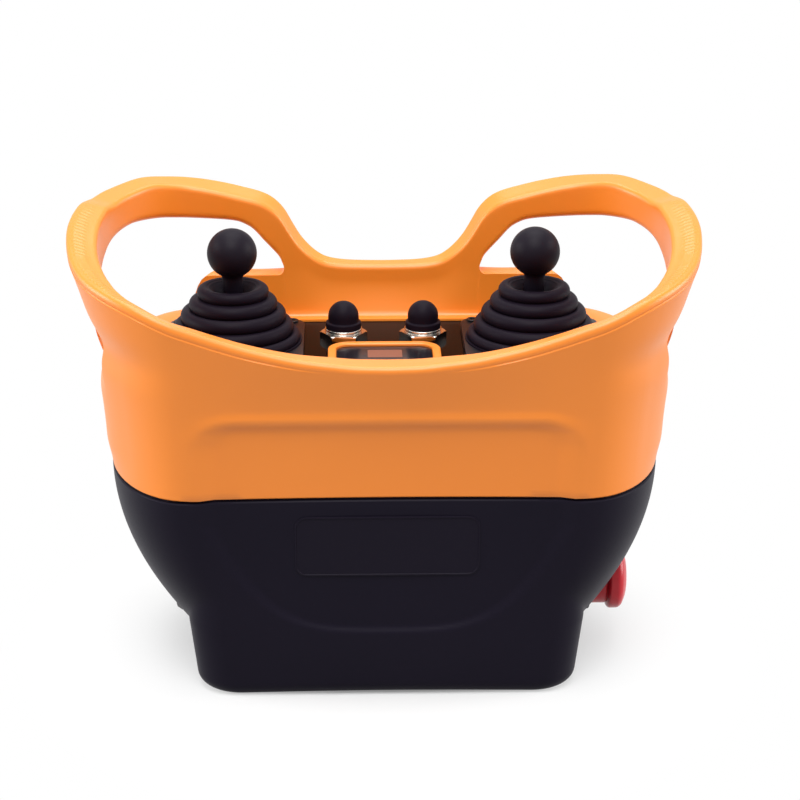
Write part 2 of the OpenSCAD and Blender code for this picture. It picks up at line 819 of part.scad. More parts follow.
// Seal in the seam between the two halves of the housing
module seam_gasket() color(rubber_black)
    translate([0, 0, case_top]) linear_extrude(gasket_thick) difference() {
        polygon(seam_edge(gasket_inset));
        polygon(seam_edge(gasket_inset + gasket_width));
    }
seam_gasket();

// Outline of the panel, less an inset
function panel_edge(inset) = ring([for (i = [0:stations - 1])
    round_box(i * step_angle, panel_hw - inset, panel_hd - inset, panel_corner - inset)]);

// Seal between the panel and the lip that carries it
module panel_seal() color(rubber_black)
    translate([0, 0, lip_top]) linear_extrude(panel_seal_thick) difference() {
        polygon(panel_edge(0));
        polygon(panel_edge(lip_width));
    }
panel_seal();

// Places of the sticks and of the buttons
module at_sticks() for (side = [-1, 1]) translate([side * stick_x, stick_back, 0]) children();
module at_buttons() for (side = [-1, 1]) translate([side * button_x, button_back, 0]) children();
// Places of a clamp frame's screws round its stick
module at_clamp_screws()
    for (x = [-1, 1], y = [-1, 1])
        translate([x * clamp_screw_reach, y * clamp_screw_reach, 0]) children();

// Glossy panel with its holes for sticks, buttons and display
module control_panel() color(glossy_black) difference() {
    translate([0, 0, panel_under]) linear_extrude(panel_thick) polygon(panel_edge(0));
    translate([0, 0, panel_under - over]) {
        at_sticks() {
            cylinder(r = stick_hole_radius, h = panel_thick + 2 * over);
            at_clamp_screws() cylinder(r = thread_radius + hole_gap, h = panel_thick + 2 * over);
        }
        at_buttons() cylinder(r = bush_radius + hole_gap, h = panel_thick + 2 * over);
        translate([0, frame_y, 0])
            plate(2 * (glass_hw - glass_ledge), 2 * (glass_hd - glass_ledge),
                  glass_corner - glass_ledge, panel_thick + 2 * over);
    }
}
control_panel();

// Bare label plate on the sunk front panel
module label_plate() color(graphite) {
    lean = atan(case_draft / seam_height);
    front = case_hd - case_draft * (1 - label_level / seam_height) - recess_depth
          - bow(label_width / 2, label_level) - label_thick * label_sink_share;
    translate([0, -front, label_level]) rotate([90 + lean, 0, 0])
        plate(label_width, label_height, label_height / 6, label_thick);
}
label_plate();

// Frame round the display
module display_frame() color(amber) translate([0, frame_y, panel_level]) difference() {
    union() {
        plate(frame_width, frame_depth, frame_corner, frame_height * frame_step_share);
        plate(frame_width - frame_band / 2, frame_depth - frame_band / 2,
              frame_corner - frame_band / 4, frame_height);
    }
    translate([0, 0, -over])
        plate(2 * glass_hw, 2 * glass_hd, glass_corner, frame_height + 2 * over);
}
display_frame();

// Dark window of the display
module display_window() color(smoke_glass) translate([0, frame_y, panel_level])
    plate(2 * (glass_hw - hole_gap), 2 * (glass_hd - hole_gap), glass_corner - hole_gap,
          window_glass);
display_window();

// Display module behind the window, in the panel's cut-out
module display_module() color(board_green) {
    hw = glass_hw - glass_ledge - seat_gap;
    hd = glass_hd - glass_ledge - seat_gap;
    translate([0, frame_y, panel_level - module_thick])
        plate(2 * hw, 2 * hd, glass_corner - glass_ledge - seat_gap, module_thick);
}
display_module();

// Square frame that clamps a stick's boot to the panel
module clamp_frame() color(rubber_black) translate([0, 0, panel_level]) difference() {
    plate(clamp_size, clamp_size, clamp_corner, clamp_thick);
    translate([0, 0, -over]) cylinder(r = stick_hole_radius, h = clamp_thick + 2 * over);
    at_clamp_screws() translate([0, 0, -over])
        cylinder(r = thread_radius + hole_gap, h = clamp_thick + 2 * over);
}

// Four screws of one clamp frame
module clamp_screws() color(rubber_black) translate([0, 0, clamp_top])
    at_clamp_screws()
        screw(thread_radius, screw_head_radius, screw_head_height, clamp_screw_length);

// Cup under the panel that carries one gimbal
module stick_housing() color(graphite) difference() {
    union() {
        translate([0, 0, panel_under - housing_plate_thick])
            plate(housing_plate, housing_plate, housing_plate_corner, housing_plate_thick);
        translate([0, 0, panel_under - housing_depth])
            cylinder(r = housing_radius, h = housing_depth);
    }
    translate([0, 0, panel_under - housing_depth + housing_floor])
        cylinder(r = housing_bore, h = housing_depth + over);
    translate([-housing_radius - over, 0, pivot_level]) rotate([0, 90, 0])
        cylinder(r = gimbal_pin_radius + run_gap, h = 2 * (housing_radius + over));
    at_clamp_screws() translate([0, 0, panel_under - housing_plate_thick - over])
        cylinder(r = thread_radius + hole_gap, h = housing_plate_thick + 2 * over);
}

// Gimbal ring: pins along X in the housing, bores along Y for the lever
module stick_yoke() color(bright_steel) translate([0, 0, pivot_level]) difference() {
    union() {
        translate([0, 0, -yoke_half_height]) cylinder(r = yoke_outer, h = 2 * yoke_half_height);
        translate([-gimbal_pin_end, 0, 0]) rotate([0, 90, 0])
            cylinder(r = gimbal_pin_radius, h = 2 * gimbal_pin_end);
    }
    translate([0, 0, -yoke_half_height - over])
        cylinder(r = yoke_inner, h = 2 * (yoke_half_height + over));
    translate([0, -yoke_outer - over, 0]) rotate([-90, 0, 0])
        cylinder(r = gimbal_pin_radius + run_gap, h = 2 * (yoke_outer + over));
}

// Lever: hub and pins along Y, stem up to the knob, tail down into the cup
module stick_lever() color(rubber_black) translate([0, 0, pivot_level]) {
    rotate([90, 0, 0]) {
        translate([0, 0, -hub_half_length]) cylinder(r = hub_radius, h = 2 * hub_half_length);
        translate([0, 0, -lever_pin_end]) cylinder(r = gimbal_pin_radius, h = 2 * lever_pin_end);
    }
    cylinder(r = stem_radius, h = ball_level - pivot_level);
    translate([0, 0, -tail_length]) cylinder(r = tail_radius, h = tail_length);
}

// Ball knob on the stem
module ball_knob() color(rubber_black) translate([0, 0, ball_level]) difference() {
    sphere(r = ball_radius);
    translate([0, 0, -ball_radius - over])
        cylinder(r = stem_radius + run_gap, h = ball_radius + over + seat_gap);
}

// Outer radius of the boot at a share of its height: round folds on a cone
function boot_r(share) =
    boot_foot_radius + (boot_lip_radius - boot_foot_radius) * share
    - fold_depth * (0.5 - 0.5 * cos(turn * boot_folds * share));
// Both walls of the boot between two shares of its height
function boot_band(from, to, steps) =
    let (
        height = boot_lip_level - clamp_top,
        walls = [for (k = [0:steps]) let (share = from + (to - from) * k / steps)
                 [boot_r(share), clamp_top + height * share]]
    )
    concat(walls, [for (k = [steps:-1:0]) [walls[k][0] - boot_wall, walls[k][1]]]);

// Lower part of the boot, with its foot on the clamp frame
module boot_lower() color(rubber_black)
    rotate_extrude() polygon(boot_band(0, boot_split_share, 18));

// Upper part of the boot: folds, collar and the funnel that closes round the stem
module boot_upper() color(rubber_black) {
    gap = seat_gap / (boot_lip_level - clamp_top);
    funnel = (boot_lip_radius - boot_throat_radius) / 2;
    union() {
        rotate_extrude() polygon(boot_band(boot_split_share + gap, 1, 20));
        rotate_extrude() polygon([
            [boot_lip_radius - boot_wall, boot_lip_level - boot_wall],
            [boot_lip_radius, boot_lip_level - boot_wall / 2],
            [boot_lip_radius - boot_wall / 3, boot_lip_level],
            [boot_lip_radius - boot_wall, boot_lip_level],
            [boot_throat_radius + boot_wall, boot_lip_level - funnel],
            [boot_throat_radius, boot_lip_level - funnel],
            [boot_throat_radius, boot_lip_level - funnel - boot_wall],
            [boot_throat_radius + boot_wall, boot_lip_level - funnel - boot_wall]
        ]);
    }
}

// One side's joystick, each piece in its own node
module left_stick() translate([-stick_x, stick_back, 0]) children();
module right_stick() translate([stick_x, stick_back, 0]) children();
left_stick() clamp_frame();  // left_clamp_frame
left_stick() clamp_screws();  // left_clamp_screws
left_stick() stick_housing();  // left_stick_housing
left_stick() stick_yoke();  // left_stick_yoke
left_stick() stick_lever();  // left_stick_lever
left_stick() ball_knob();  // left_ball_knob
left_stick() boot_lower();  // left_boot_lower
left_stick() boot_upper();  // left_boot_upper
right_stick() clamp_frame();  // right_clamp_frame
right_stick() clamp_screws();  // right_clamp_screws
right_stick() stick_housing();  // right_stick_housing
right_stick() stick_yoke();  // right_stick_yoke
right_stick() stick_lever();  // right_stick_lever
right_stick() ball_knob();  // right_ball_knob
right_stick() boot_lower();  // right_boot_lower
right_stick() boot_upper();  // right_boot_upper

// Switch body under the panel, with the threaded bush that passes through it
module push_switch() color(graphite) difference() {
    union() {
        translate([0, 0, panel_under - switch_body_length])
            cylinder(r = switch_body_radius, h = switch_body_length);
        translate([0, 0, panel_under - over])
            cylinder(r = bush_radius, h = bush_top - panel_under + over);
    }
    translate([0, 0, bush_top - plunger_depth])
        cylinder(r = plunger_radius + run_gap, h = plunger_depth + over);
}

// Hexagon nut that clamps the switch to the panel
module switch_nut() color(bright_steel) translate([0, 0, panel_level])
    hex_nut(nut_flats, bush_radius + hole_gap, nut_thick);

// Bright collar with a groove, under the rubber cap
module switch_collar() color(bright_steel) translate([0, 0, panel_level + nut_thick])
    rotate_extrude() polygon([
        [bush_radius + hole_gap, 0], [collar_radius, 0],
        [collar_radius, collar_height * groove_shares[0]],
        [collar_radius * groove_depth_share, collar_height * groove_shares[1]],
        [collar_radius * groove_depth_share, collar_height * groove_shares[2]],
        [collar_radius, collar_height * groove_shares[3]],
        [collar_radius, collar_height * groove_shares[4]],
        [collar_radius * collar_top_share, collar_height],
        [bush_radius + hole_gap, collar_height]
    ]);

// Plunger inside the bush and the cap
module switch_plunger() color(bright_steel) {
    low = bush_top - plunger_depth + button_travel + cap_gap;
    high = bush_top + cap_height - dome_radius - cap_gap
         + sqrt(pow(dome_radius - cap_wall, 2) - pow(plunger_radius, 2));
    translate([0, 0, low]) cylinder(r = plunger_radius, h = high - low);
}

// Rubber cap: a foot ring and a hollow dome
module switch_cap() color(rubber_black) translate([0, 0, bush_top]) {
    shoulder = cap_height - dome_radius;
    inner = dome_radius - cap_wall;
    difference() {
        union() {
            cylinder(r = cap_foot_radius, h = cap_foot_height);
            cylinder(r = dome_radius, h = shoulder);
            translate([0, 0, shoulder]) sphere(r = dome_radius);
        }
        translate([0, 0, -dome_radius]) {
            cylinder(r = inner, h = dome_radius + shoulder);
            translate([-dome_radius, -dome_radius, 0])
                cube([2 * dome_radius, 2 * dome_radius, dome_radius]);
        }
        translate([0, 0, shoulder]) sphere(r = inner);
    }
}

// One button, each piece in its own node
module start_button() translate([-button_x, button_back, 0]) children();
module horn_button() translate([button_x, button_back, 0]) children();
start_button() push_switch();  // start_switch
start_button() switch_nut();  // start_nut
start_button() switch_collar();  // start_collar
start_button() switch_plunger();  // start_plunger
start_button() switch_cap();  // start_cap
horn_button() push_switch();  // horn_switch
horn_button() switch_nut();  // horn_nut
horn_button() switch_collar();  // horn_collar
horn_button() switch_plunger();  // horn_plunger
horn_button() switch_cap();  // horn_cap

// Frame of a side switch: the origin on the pocket's face, +Z outwards
module stop_side() translate([pocket_face, 0, switch_level]) rotate([0, 90, 0]) children();
module key_side() translate([-pocket_face, 0, switch_level]) rotate([0, -90, 0]) children();
module bored(radius, from, to) difference() {
    children();
    translate([0, 0, from]) cylinder(r = radius, h = to - from);
}

// Bush of the stop switch: a tube through the flank, with a ring round the head's neck
module stop_bush() color(graphite) stop_side()
    bored(stop_shaft_radius + run_gap, -2 * stop_bush_length, 2 * over) difference() {
        union() {
            translate([0, 0, -stop_bush_length])
                cylinder(r = stop_bush_radius, h = stop_bush_length + over / 2);
            cylinder(r = stop_ring_radius, h = stop_ring_height);
        }
        translate([0, 0, stop_disc_thick])
            cylinder(r = stop_neck_radius + hole_gap, h = stop_ring_height);
    }
stop_bush();

// Nut that clamps the bush from inside
module stop_nut() color(bright_steel) stop_side() translate([0, 0, -pocket_wall - stop_nut_thick])
    rotate(turn / 12) hex_nut(stop_nut_flats, stop_bush_radius + hole_gap, stop_nut_thick);
stop_nut();

// Shaft that carries the head and pushes the contacts
module stop_shaft() color(bright_steel) stop_side()
    translate([0, 0, stop_reach - stop_shaft_cover - stop_shaft_length])
        cylinder(r = stop_shaft_radius, h = stop_shaft_length);
stop_shaft();

// Mushroom head with a round neck and a domed face
module stop_head() color(stop_red) stop_side() {
    seat = stop_reach - stop_head_thick;
    rim = stop_head_thick * mushroom_rim_share;
    dome = stop_head_thick - rim;
    bored(stop_shaft_radius + run_gap, seat - stop_neck_length - over,
          stop_reach - stop_shaft_cover + run_gap)
        rotate_extrude() polygon(concat(
            [[0, seat - stop_neck_length], [stop_neck_radius, seat - stop_neck_length],
             [stop_neck_radius, seat], [stop_head_radius * mushroom_seat_share, seat],
             [stop_head_radius, seat + rim * mushroom_edge_share], [stop_head_radius, seat + rim]],
            [for (k = [1:dome_steps]) let (q = k / dome_steps * turn / 4)
                [stop_head_radius * cos(q), seat + rim + dome * sin(q)]]
        ));
}
stop_head();

// Contact block behind the stop switch
module stop_contact_block() color(rubber_black) stop_side()
    bored(stop_shaft_radius + seat_gap, -stop_bush_length - block_bore_depth, over)
        translate([-stop_block_size[2] / 2, -stop_block_size[1] / 2,
                   -stop_bush_length - stop_block_size[0]])
            cube([stop_block_size[2], stop_block_size[1], stop_block_size[0]]);
stop_contact_block();

// Ring and barrel of the key switch
module key_ring() color(rubber_black) key_side()
    bored(key_rotor_radius + run_gap, -key_barrel_length - over, key_ring_reach + over)
        rotate_extrude() polygon([
            [0, -key_barrel_length], [key_barrel_radius, -key_barrel_length],
            [key_barrel_radius, 0], [key_ring_radius, 0],
            [key_ring_radius, key_ring_reach * ring_rim_share],
            [key_ring_radius * ring_top_share, key_ring_reach],
            [0, key_ring_reach]
        ]);
key_ring();

// Nut that clamps the key switch from inside
module key_nut() color(bright_steel) key_side() translate([0, 0, -pocket_wall - key_nut_thick])
    rotate(turn / 12) hex_nut(key_nut_flats, key_barrel_radius + hole_gap, key_nut_thick);
key_nut();

// Rotor with the slot for the key
module key_rotor() color(bright_steel) key_side() difference() {
    translate([0, 0, key_ring_reach - seat_gap - key_rotor_length])
        cylinder(r = key_rotor_radius, h = key_rotor_length);
    translate([-key_slot_length / 2, -key_slot_width / 2, key_ring_reach - seat_gap - key_slot_depth])
        cube([key_slot_length, key_slot_width, key_slot_depth + over]);
}
key_rotor();

// Contact block behind the key switch
module key_switch_block() color(rubber_black) key_side()
    bored(key_rotor_radius + run_gap, -key_barrel_length - block_bore_depth, over)
        translate([-key_block_size[2] / 2, -key_block_size[1] / 2,
                   -key_barrel_length - key_block_size[0]])
            cube([key_block_size[2], key_block_size[1], key_block_size[0]]);
key_switch_block();

// Holder over the hatch that guides the battery
battery_top = cover_thick + battery_height;
module battery_holder() color(graphite) {
    inner_top = battery_top + contact_size[2];
    difference() {
        translate([-hatch_size[0] / 2 - holder_wall, -hatch_size[1] / 2 - holder_wall, floor_wall])
            cube([hatch_size[0] + 2 * holder_wall, hatch_size[1] + 2 * holder_wall,
                  inner_top + holder_wall - floor_wall]);
        translate([-hatch_size[0] / 2, -hatch_size[1] / 2, floor_wall - over])
            cube([hatch_size[0], hatch_size[1], inner_top - floor_wall + over]);
    }
}
battery_holder();

// Contact plate between the battery and the holder
module battery_contacts() color(bright_steel)
    translate([-contact_size[0] / 2, -contact_size[1] / 2, battery_top]) cube(contact_size);
battery_contacts();

// Battery on the cover
module battery_pack() color(battery_grey)
    translate([-battery_length / 2, -battery_width / 2, cover_thick])
        cube([battery_length, battery_width, battery_height]);
battery_pack();

// Places of the cover's screws
module at_cover_screws() for (side = [-1, 1]) translate([side * cover_screw_x, 0, 0]) children();

// Cover of the battery hatch, flush in the base
module battery_cover() color(graphite) difference() {
    translate([0, 0, cover_sink])
        plate(cover_size[0], cover_size[1], holder_wall, cover_thick - cover_sink);
    at_cover_screws() {
        translate([0, 0, -over]) {
            cylinder(r = cover_screw_radius + hole_gap, h = cover_thick + 2 * over);
            cylinder(r = cover_screw_head + hole_gap, h = over + cover_thick / 2);
        }
    }
}
battery_cover();

// Screws of the battery cover, heads down
module battery_cover_screws() color(bright_steel) at_cover_screws() {
    translate([0, 0, cover_sink]) cylinder(r = cover_screw_head, h = cover_thick / 2 - cover_sink);
    translate([0, 0, cover_sink]) cylinder(r = cover_screw_radius, h = cover_screw_length);
}
battery_cover_screws();

// Places of the board's screws
module at_posts() for (x = [-post_x, post_x], y = [-post_y, post_y]) translate([x, y, 0]) children();

// Main board on its posts
module main_board() color(board_green) difference() {
    translate([-board_length / 2, -board_width / 2, board_level])
        cube([board_length, board_width, board_thick]);
    at_posts() translate([0, 0, board_level - over])
        cylinder(r = thread_radius + hole_gap, h = board_thick + 2 * over);
}
main_board();

// Screws of the main board
module board_screws() color(bright_steel) at_posts() translate([0, 0, board_level + board_thick])
    screw(thread_radius, screw_head_radius, screw_head_height, board_screw_length);
board_screws();

// Coiled antenna in its sleeve, on the board
module antenna() color(rubber_black)
    translate([antenna_inset[0] - board_length / 2, board_width / 2 - antenna_inset[1],
               board_level + board_thick])
        cylinder(r = antenna_radius, h = antenna_height);
antenna();

// Long screws that hold the two halves of the housing together
module case_screws() color(bright_steel) at_columns() {
    translate([0, 0, case_screw_sink - case_screw_head_height])
        cylinder(r = case_screw_head_radius, h = case_screw_head_height);
    translate([0, 0, case_screw_sink - case_screw_head_height])
        cylinder(r = case_screw_radius, h = case_screw_top - over - case_screw_sink
                 + case_screw_head_height);
}
case_screws();
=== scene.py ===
"""Looks of a belly-box radio remote control for a crane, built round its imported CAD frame."""

import json
import logging
import math
from collections.abc import Sequence
from dataclasses import dataclass
from enum import Enum

import bmesh
import bpy
import numpy as np
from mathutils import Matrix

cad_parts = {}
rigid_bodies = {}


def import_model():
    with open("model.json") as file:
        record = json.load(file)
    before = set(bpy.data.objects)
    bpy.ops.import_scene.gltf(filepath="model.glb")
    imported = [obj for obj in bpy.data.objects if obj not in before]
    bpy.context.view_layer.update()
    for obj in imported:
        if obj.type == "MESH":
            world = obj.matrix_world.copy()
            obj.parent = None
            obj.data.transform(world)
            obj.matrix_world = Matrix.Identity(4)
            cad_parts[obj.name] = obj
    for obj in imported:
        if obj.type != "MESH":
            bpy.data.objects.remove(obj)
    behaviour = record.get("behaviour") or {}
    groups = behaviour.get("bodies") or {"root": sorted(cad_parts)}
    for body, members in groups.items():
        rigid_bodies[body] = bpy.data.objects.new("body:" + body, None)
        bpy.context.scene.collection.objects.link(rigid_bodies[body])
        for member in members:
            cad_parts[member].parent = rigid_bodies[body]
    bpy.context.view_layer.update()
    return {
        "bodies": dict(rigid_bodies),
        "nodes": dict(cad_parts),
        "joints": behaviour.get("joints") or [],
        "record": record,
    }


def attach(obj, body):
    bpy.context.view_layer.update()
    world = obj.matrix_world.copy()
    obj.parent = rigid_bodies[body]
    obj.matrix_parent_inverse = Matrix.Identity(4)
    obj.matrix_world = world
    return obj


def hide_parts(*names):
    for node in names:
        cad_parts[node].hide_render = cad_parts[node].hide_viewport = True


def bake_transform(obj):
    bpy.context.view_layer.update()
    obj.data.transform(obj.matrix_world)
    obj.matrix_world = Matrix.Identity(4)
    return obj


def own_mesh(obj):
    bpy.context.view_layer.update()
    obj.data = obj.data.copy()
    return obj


LOG = logging.getLogger("crane_remote")
MM = 0.001
TURN = 360.0
QUARTER = np.pi / 2
TINY = 1e-9  # keeps a divisor off 0
WELD = 1e-3  # welding distance in millimetres
ANGLE_DIGITS = 5  # digits to which the crown's directions are rounded
ANGLE_SLACK = 1e-4  # room in degrees within which two directions are the same
MOST_CUT = 0.49  # share of a side that the rounding at one of its ends may take
SHARP = 40.0  # usual angle in degrees above which an edge stays sharp
COLOUR_A, COLOUR_B, COLOUR_OUT = 6, 7, 2  # sockets of a mixing node that mixes colours

Array = np.ndarray
Object = bpy.types.Object
Socket = bpy.types.NodeSocket
Tree = bpy.types.NodeTree
Span = tuple[float, float]
Levels = tuple[Span, ...]
Place = tuple[float, float, float]


# ---------------------------------------------------------------- curves


def ease(value: Array, low: float, high: float) -> Array:
    """Share from 0 to 1 of the way from low to high, with eased ends: 3t^2 - 2t^3."""
    t = np.clip((np.asarray(value, float) - low) / (high - low), 0, 1)
    return t * t * (3 - 2 * t)


def hump(value: Array, rise: Span, fall: Span, height: Array | float = 1.0) -> Array:
    """Height that eases in over one stretch of values and out over another."""
    return height * ease(value, *rise) * (1 - ease(value, *fall))


def bell(value: Array, middle: float, width: float) -> Array:
    """Bell curve of height 1: exp(-((value - middle) / width)^2)."""
    return np.exp(-(((value - middle) / width) ** 2))


def row(count: int, end: float = 1.0) -> Array:
    """Even steps from 0 to an end, as one row of a grid."""
    return np.linspace(0, end, count)[None, :]


def hermite(t: Array, a: Array, slope_a: Array, b: Array, slope_b: Array, step: Array | float = 1.0) -> Array:
    """Cubic span from a to b with given slopes at its ends.

    Args:
        t: Share of the way, from 0 to 1.
        a: Value at the start.
        slope_a: Slope at the start.
        b: Value at the end.
        slope_b: Slope at the end.
        step: Length of the span.

    Returns:
        Values of the cubic.
    """
    return (
        (2 * t**3 - 3 * t**2 + 1) * a + (t**3 - 2 * t**2 + t) * step * slope_a
        + (-2 * t**3 + 3 * t**2) * b + (t**3 - t**2) * step * slope_b
    )


def monotone(levels: Levels, at: Array) -> Array:
    """Smooth curve through points, with cubic spans.

    The slope at a point is the harmonic mean of its neighbours' slopes, or 0 where they
    differ in sign, so that the curve never runs past a point.

    Args:
        levels: Points as (place, level), with rising places.
        at: Places at which the curve is read.

    Returns:
        The curve's levels.
    """
    x, y = np.array(levels, float).T
    step = np.diff(x)
    slope = np.diff(y) / step
    left, right = slope[:-1], slope[1:]
    same = left * right > 0
    middle = np.where(same, 2 * left * right / np.where(same, left + right, 1), 0)
    tangent = np.concatenate([[slope[0]], middle, [0.0]])
    k = np.clip(np.searchsorted(x, at) - 1, 0, len(step) - 1)
    t = np.clip((at - x[k]) / step[k], 0, 1)
    return hermite(t, y[k], tangent[k], y[k + 1], tangent[k + 1], step[k])


def smooth_curve(points: Levels, steps: int) -> Array:
    """Pass a smooth curve through points, with cubic spans whose tangents join neighbours.

    Args:
        points: Places as (radius, height).
        steps: Points in each span.

    Returns:
        Array of points x 2.
    """
    p = np.array(points, float)
    m = np.gradient(p, axis=0)
    t = np.linspace(0, 1, steps, endpoint=False)[None, :, None]
    span = hermite(t, p[:-1, None], m[:-1, None], p[1:, None], m[1:, None])
    return np.concatenate([span.reshape(-1, 2), p[-1:]])


def rounded(points: Sequence[Place], steps: int) -> Array:
    """Round the corners of a profile with curves of the second degree.

    Args:
        points: Corners as (radius, height, length of the rounding along each side).
        steps: Points in each rounding.

    Returns:
        Array of points x 2.
    """
    corners = np.array([p[:2] for p in points], float)
    cuts = [p[2] for p in points]
    out = [corners[:1]]
    t = np.linspace(0, 1, steps)[:, None]
    for k in range(1, len(corners) - 1):
        back, ahead = corners[k - 1] - corners[k], corners[k + 1] - corners[k]
        near = min(cuts[k], MOST_CUT * np.hypot(*back), MOST_CUT * np.hypot(*ahead))
        if near <= 0:
            out.append(corners[k : k + 1])
            continue
        a = corners[k] + back / np.hypot(*back) * near
        b = corners[k] + ahead / np.hypot(*ahead) * near
        out.append((1 - t) ** 2 * a + 2 * t * (1 - t) * corners[k] + t**2 * b)
    return np.concatenate([*out, corners[-1:]])


def closed(profile: Array) -> Array:
    """The profile with its first point once more at its end."""
    return np.concatenate([profile, profile[:1]])


def corners_of(half_x: float, half_y: float) -> list[Span]:
    """The four corners of a rectangle round the origin."""
    return [(x, y) for x in (-half_x, half_x) for y in (-half_y, half_y)]


def round_rectangle(hw: float, hd: float, corner: float, steps: int) -> Array:
    """Outline of a rectangle with round corners, anticlockwise: a quarter circle at each.

    Args:
        hw: Half width.
        hd: Half depth.
        corner: Corner radius.
        steps: Points in each corner.

    Returns:
        Array of points x 2.
    """
    corner = max(corner, 10 * WELD)
    parts = []
    for k, (sx, sy) in enumerate([(1, 1), (-1, 1), (-1, -1), (1, -1)]):
        a = np.linspace(0, QUARTER, steps) + k * QUARTER
        x, y = sx * (hw - corner) + corner * np.cos(a), sy * (hd - corner) + corner * np.sin(a)
        parts.append(np.stack([x, y], -1))
    return np.concatenate(parts)


def around(a: Array, r: Array, z: Array | float) -> Array:
    """Points at directions, distances and levels: x = r sin a and y = -r cos a, so 0 is the front."""
    t = np.radians(a)
    return np.stack([r * np.sin(t), -r * np.cos(t), np.broadcast_to(z, r.shape)], -1)


class Axis(Enum):
    """Direction in which the heights of a turned profile count."""

    UP = "up"
    RIGHT = "right"
    LEFT = "left"


def revolve(profile: Array, centre: Sequence[float], axis: Axis = Axis.UP, steps: int = 96) -> Array:
    """Turn a profile of (radius, height) about an axis.

    A point lies across the axis at its radius times the cosine and the sine of the turn.

    Args:
        profile: Array of points x 2, in millimetres.
        centre: Point on the axis from which the heights count.
        axis: Direction of the heights.
        steps: Number of stations round the axis.

    Returns:
        Grid of steps x points x 3.
    """
    turn = np.linspace(0, 2 * np.pi, steps, endpoint=False)[:, None]
    u = profile[None, :, 0] * np.cos(turn)
    v = profile[None, :, 0] * np.sin(turn)
    h = np.broadcast_to(profile[None, :, 1], u.shape)
    order = {Axis.UP: (u, v, h), Axis.RIGHT: (h, u, v), Axis.LEFT: (-h, -u, v)}[axis]
    return np.stack(order, -1) + np.asarray(centre, float)


def plate_rings(plan: Place, profile: Sequence[Span], centre: Place, steps: int) -> Array:
    """Carry a profile of (inset, height) round a rectangle with round corners.

    Each ring is the outline of a rectangle and corners that are smaller by the inset.

    Args:
        plan: Half width, half depth and corner radius at no inset.
        profile: Points of inset and height.
        centre: Middle of the plate.
        steps: Points in each corner.

    Returns:
        Grid of outline x profile x 3.
    """
    rings = []
    for inset, height in profile:
        outline = round_rectangle(*(size - inset for size in plan), steps)
        rings.append(np.insert(outline, 2, height, axis=1))
    return np.stack(rings, 1) + np.asarray(centre, float)


# ---------------------------------------------------------------- meshes


class Skin:
    """Grids of points that are welded into one closed mesh."""

    def __init__(self) -> None:
        """Start with no points and no faces."""
        self.points: list[Array] = []
        self.quads: list[Array] = []
        self.count = 0

    def grid(self, points: Array, wrap: bool = False, flip: bool = False) -> "Skin":
        """Add a grid of points and the quads between its neighbours.

        Args:
            points: Array of rows x columns x 3, in millimetres.
            wrap: True if the last row joins the first.
            flip: True if the quads are turned over.

        Returns:
            This skin, so that calls can follow each other.
        """
        rows, cols = points.shape[:2]
        index = np.arange(rows * cols).reshape(rows, cols) + self.count
        cur, nxt = (index, np.roll(index, -1, axis=0)) if wrap else (index[:-1], index[1:])
        quad = np.stack([cur[:, :-1], nxt[:, :-1], nxt[:, 1:], cur[:, 1:]], -1).reshape(-1, 4)
        self.quads.append(quad[:, ::-1] if flip else quad)
        self.points.append(points.reshape(-1, 3))
        self.count += rows * cols
        return self

    def turn(self, profile: Array, centre: Place, axis: Axis = Axis.UP, steps: int = 96) -> "Skin":
        """Add a profile turned about an axis, as revolve takes it."""
        return self.grid(revolve(profile, centre, axis, steps), wrap=True)

    def plate(self, plan: Place, profile: Sequence[Span], centre: Place, steps: int) -> "Skin":
        """Add a profile carried round a rectangle, as plate_rings takes it."""
        return self.grid(plate_rings(plan, profile, centre, steps), wrap=True)

    def welded(self) -> tuple[Array, Array, Array]:
        """Weld points whose places round to the same one, and drop the faces that collapse.

        Returns:
            The points, the faces of four corners and those of three.
        """
        points = np.concatenate(self.points)
        keys = np.round(points / WELD).astype(np.int64)
        _, first, inverse = np.unique(keys, axis=0, return_index=True, return_inverse=True)
        quads = inverse.reshape(-1)[np.concatenate(self.quads)]
        same = quads == np.roll(quads, -1, axis=1)
        across = (quads[:, 0] == quads[:, 2]) | (quads[:, 1] == quads[:, 3])
        thin = (same.sum(1) == 1) & ~across
        return points[first], quads[~same.any(1) & ~across], quads[thin][~same[thin]].reshape(-1, 3)

    def piece(self, name: str, finish: "Finish | Paper", sharp: float = SHARP) -> Object:
        """Put the welded grids into a new Blender object.

        Args:
            name: Name of the new piece.
            finish: Finish that dresses it.
            sharp: Angle in degrees above which an edge stays sharp.

        Returns:
            The new object, at the origin, with its place in its mesh.
        """
        points, quads, triangles = self.welded()
        corners = np.concatenate([quads.reshape(-1), triangles.reshape(-1)]).astype(np.int32)
        sizes = np.concatenate([np.full(len(quads), 4), np.full(len(triangles), 3)])
        starts = np.concatenate([[0], np.cumsum(sizes)[:-1]]).astype(np.int32)
        mesh = bpy.data.meshes.new(name)
        mesh.vertices.add(len(points))
        mesh.vertices.foreach_set("co", (points * MM).astype(np.float32).reshape(-1))
        mesh.loops.add(len(corners))
        mesh.loops.foreach_set("vertex_index", corners)
        mesh.polygons.add(len(sizes))
        mesh.polygons.foreach_set("loop_start", starts)
        mesh.update(calc_edges=True)
        mesh.validate()
        smooth(mesh, sharp)
        mesh.materials.append(finish.material())
        piece = bpy.data.objects.new(name, mesh)
        bpy.context.scene.collection.objects.link(piece)
        return piece


def smooth(mesh: bpy.types.Mesh, sharp: float) -> None:
    """Shade a mesh smooth, apart from edges above an angle in degrees."""
    mesh.shade_smooth()
    mesh.set_sharp_from_angle(angle=math.radians(sharp))


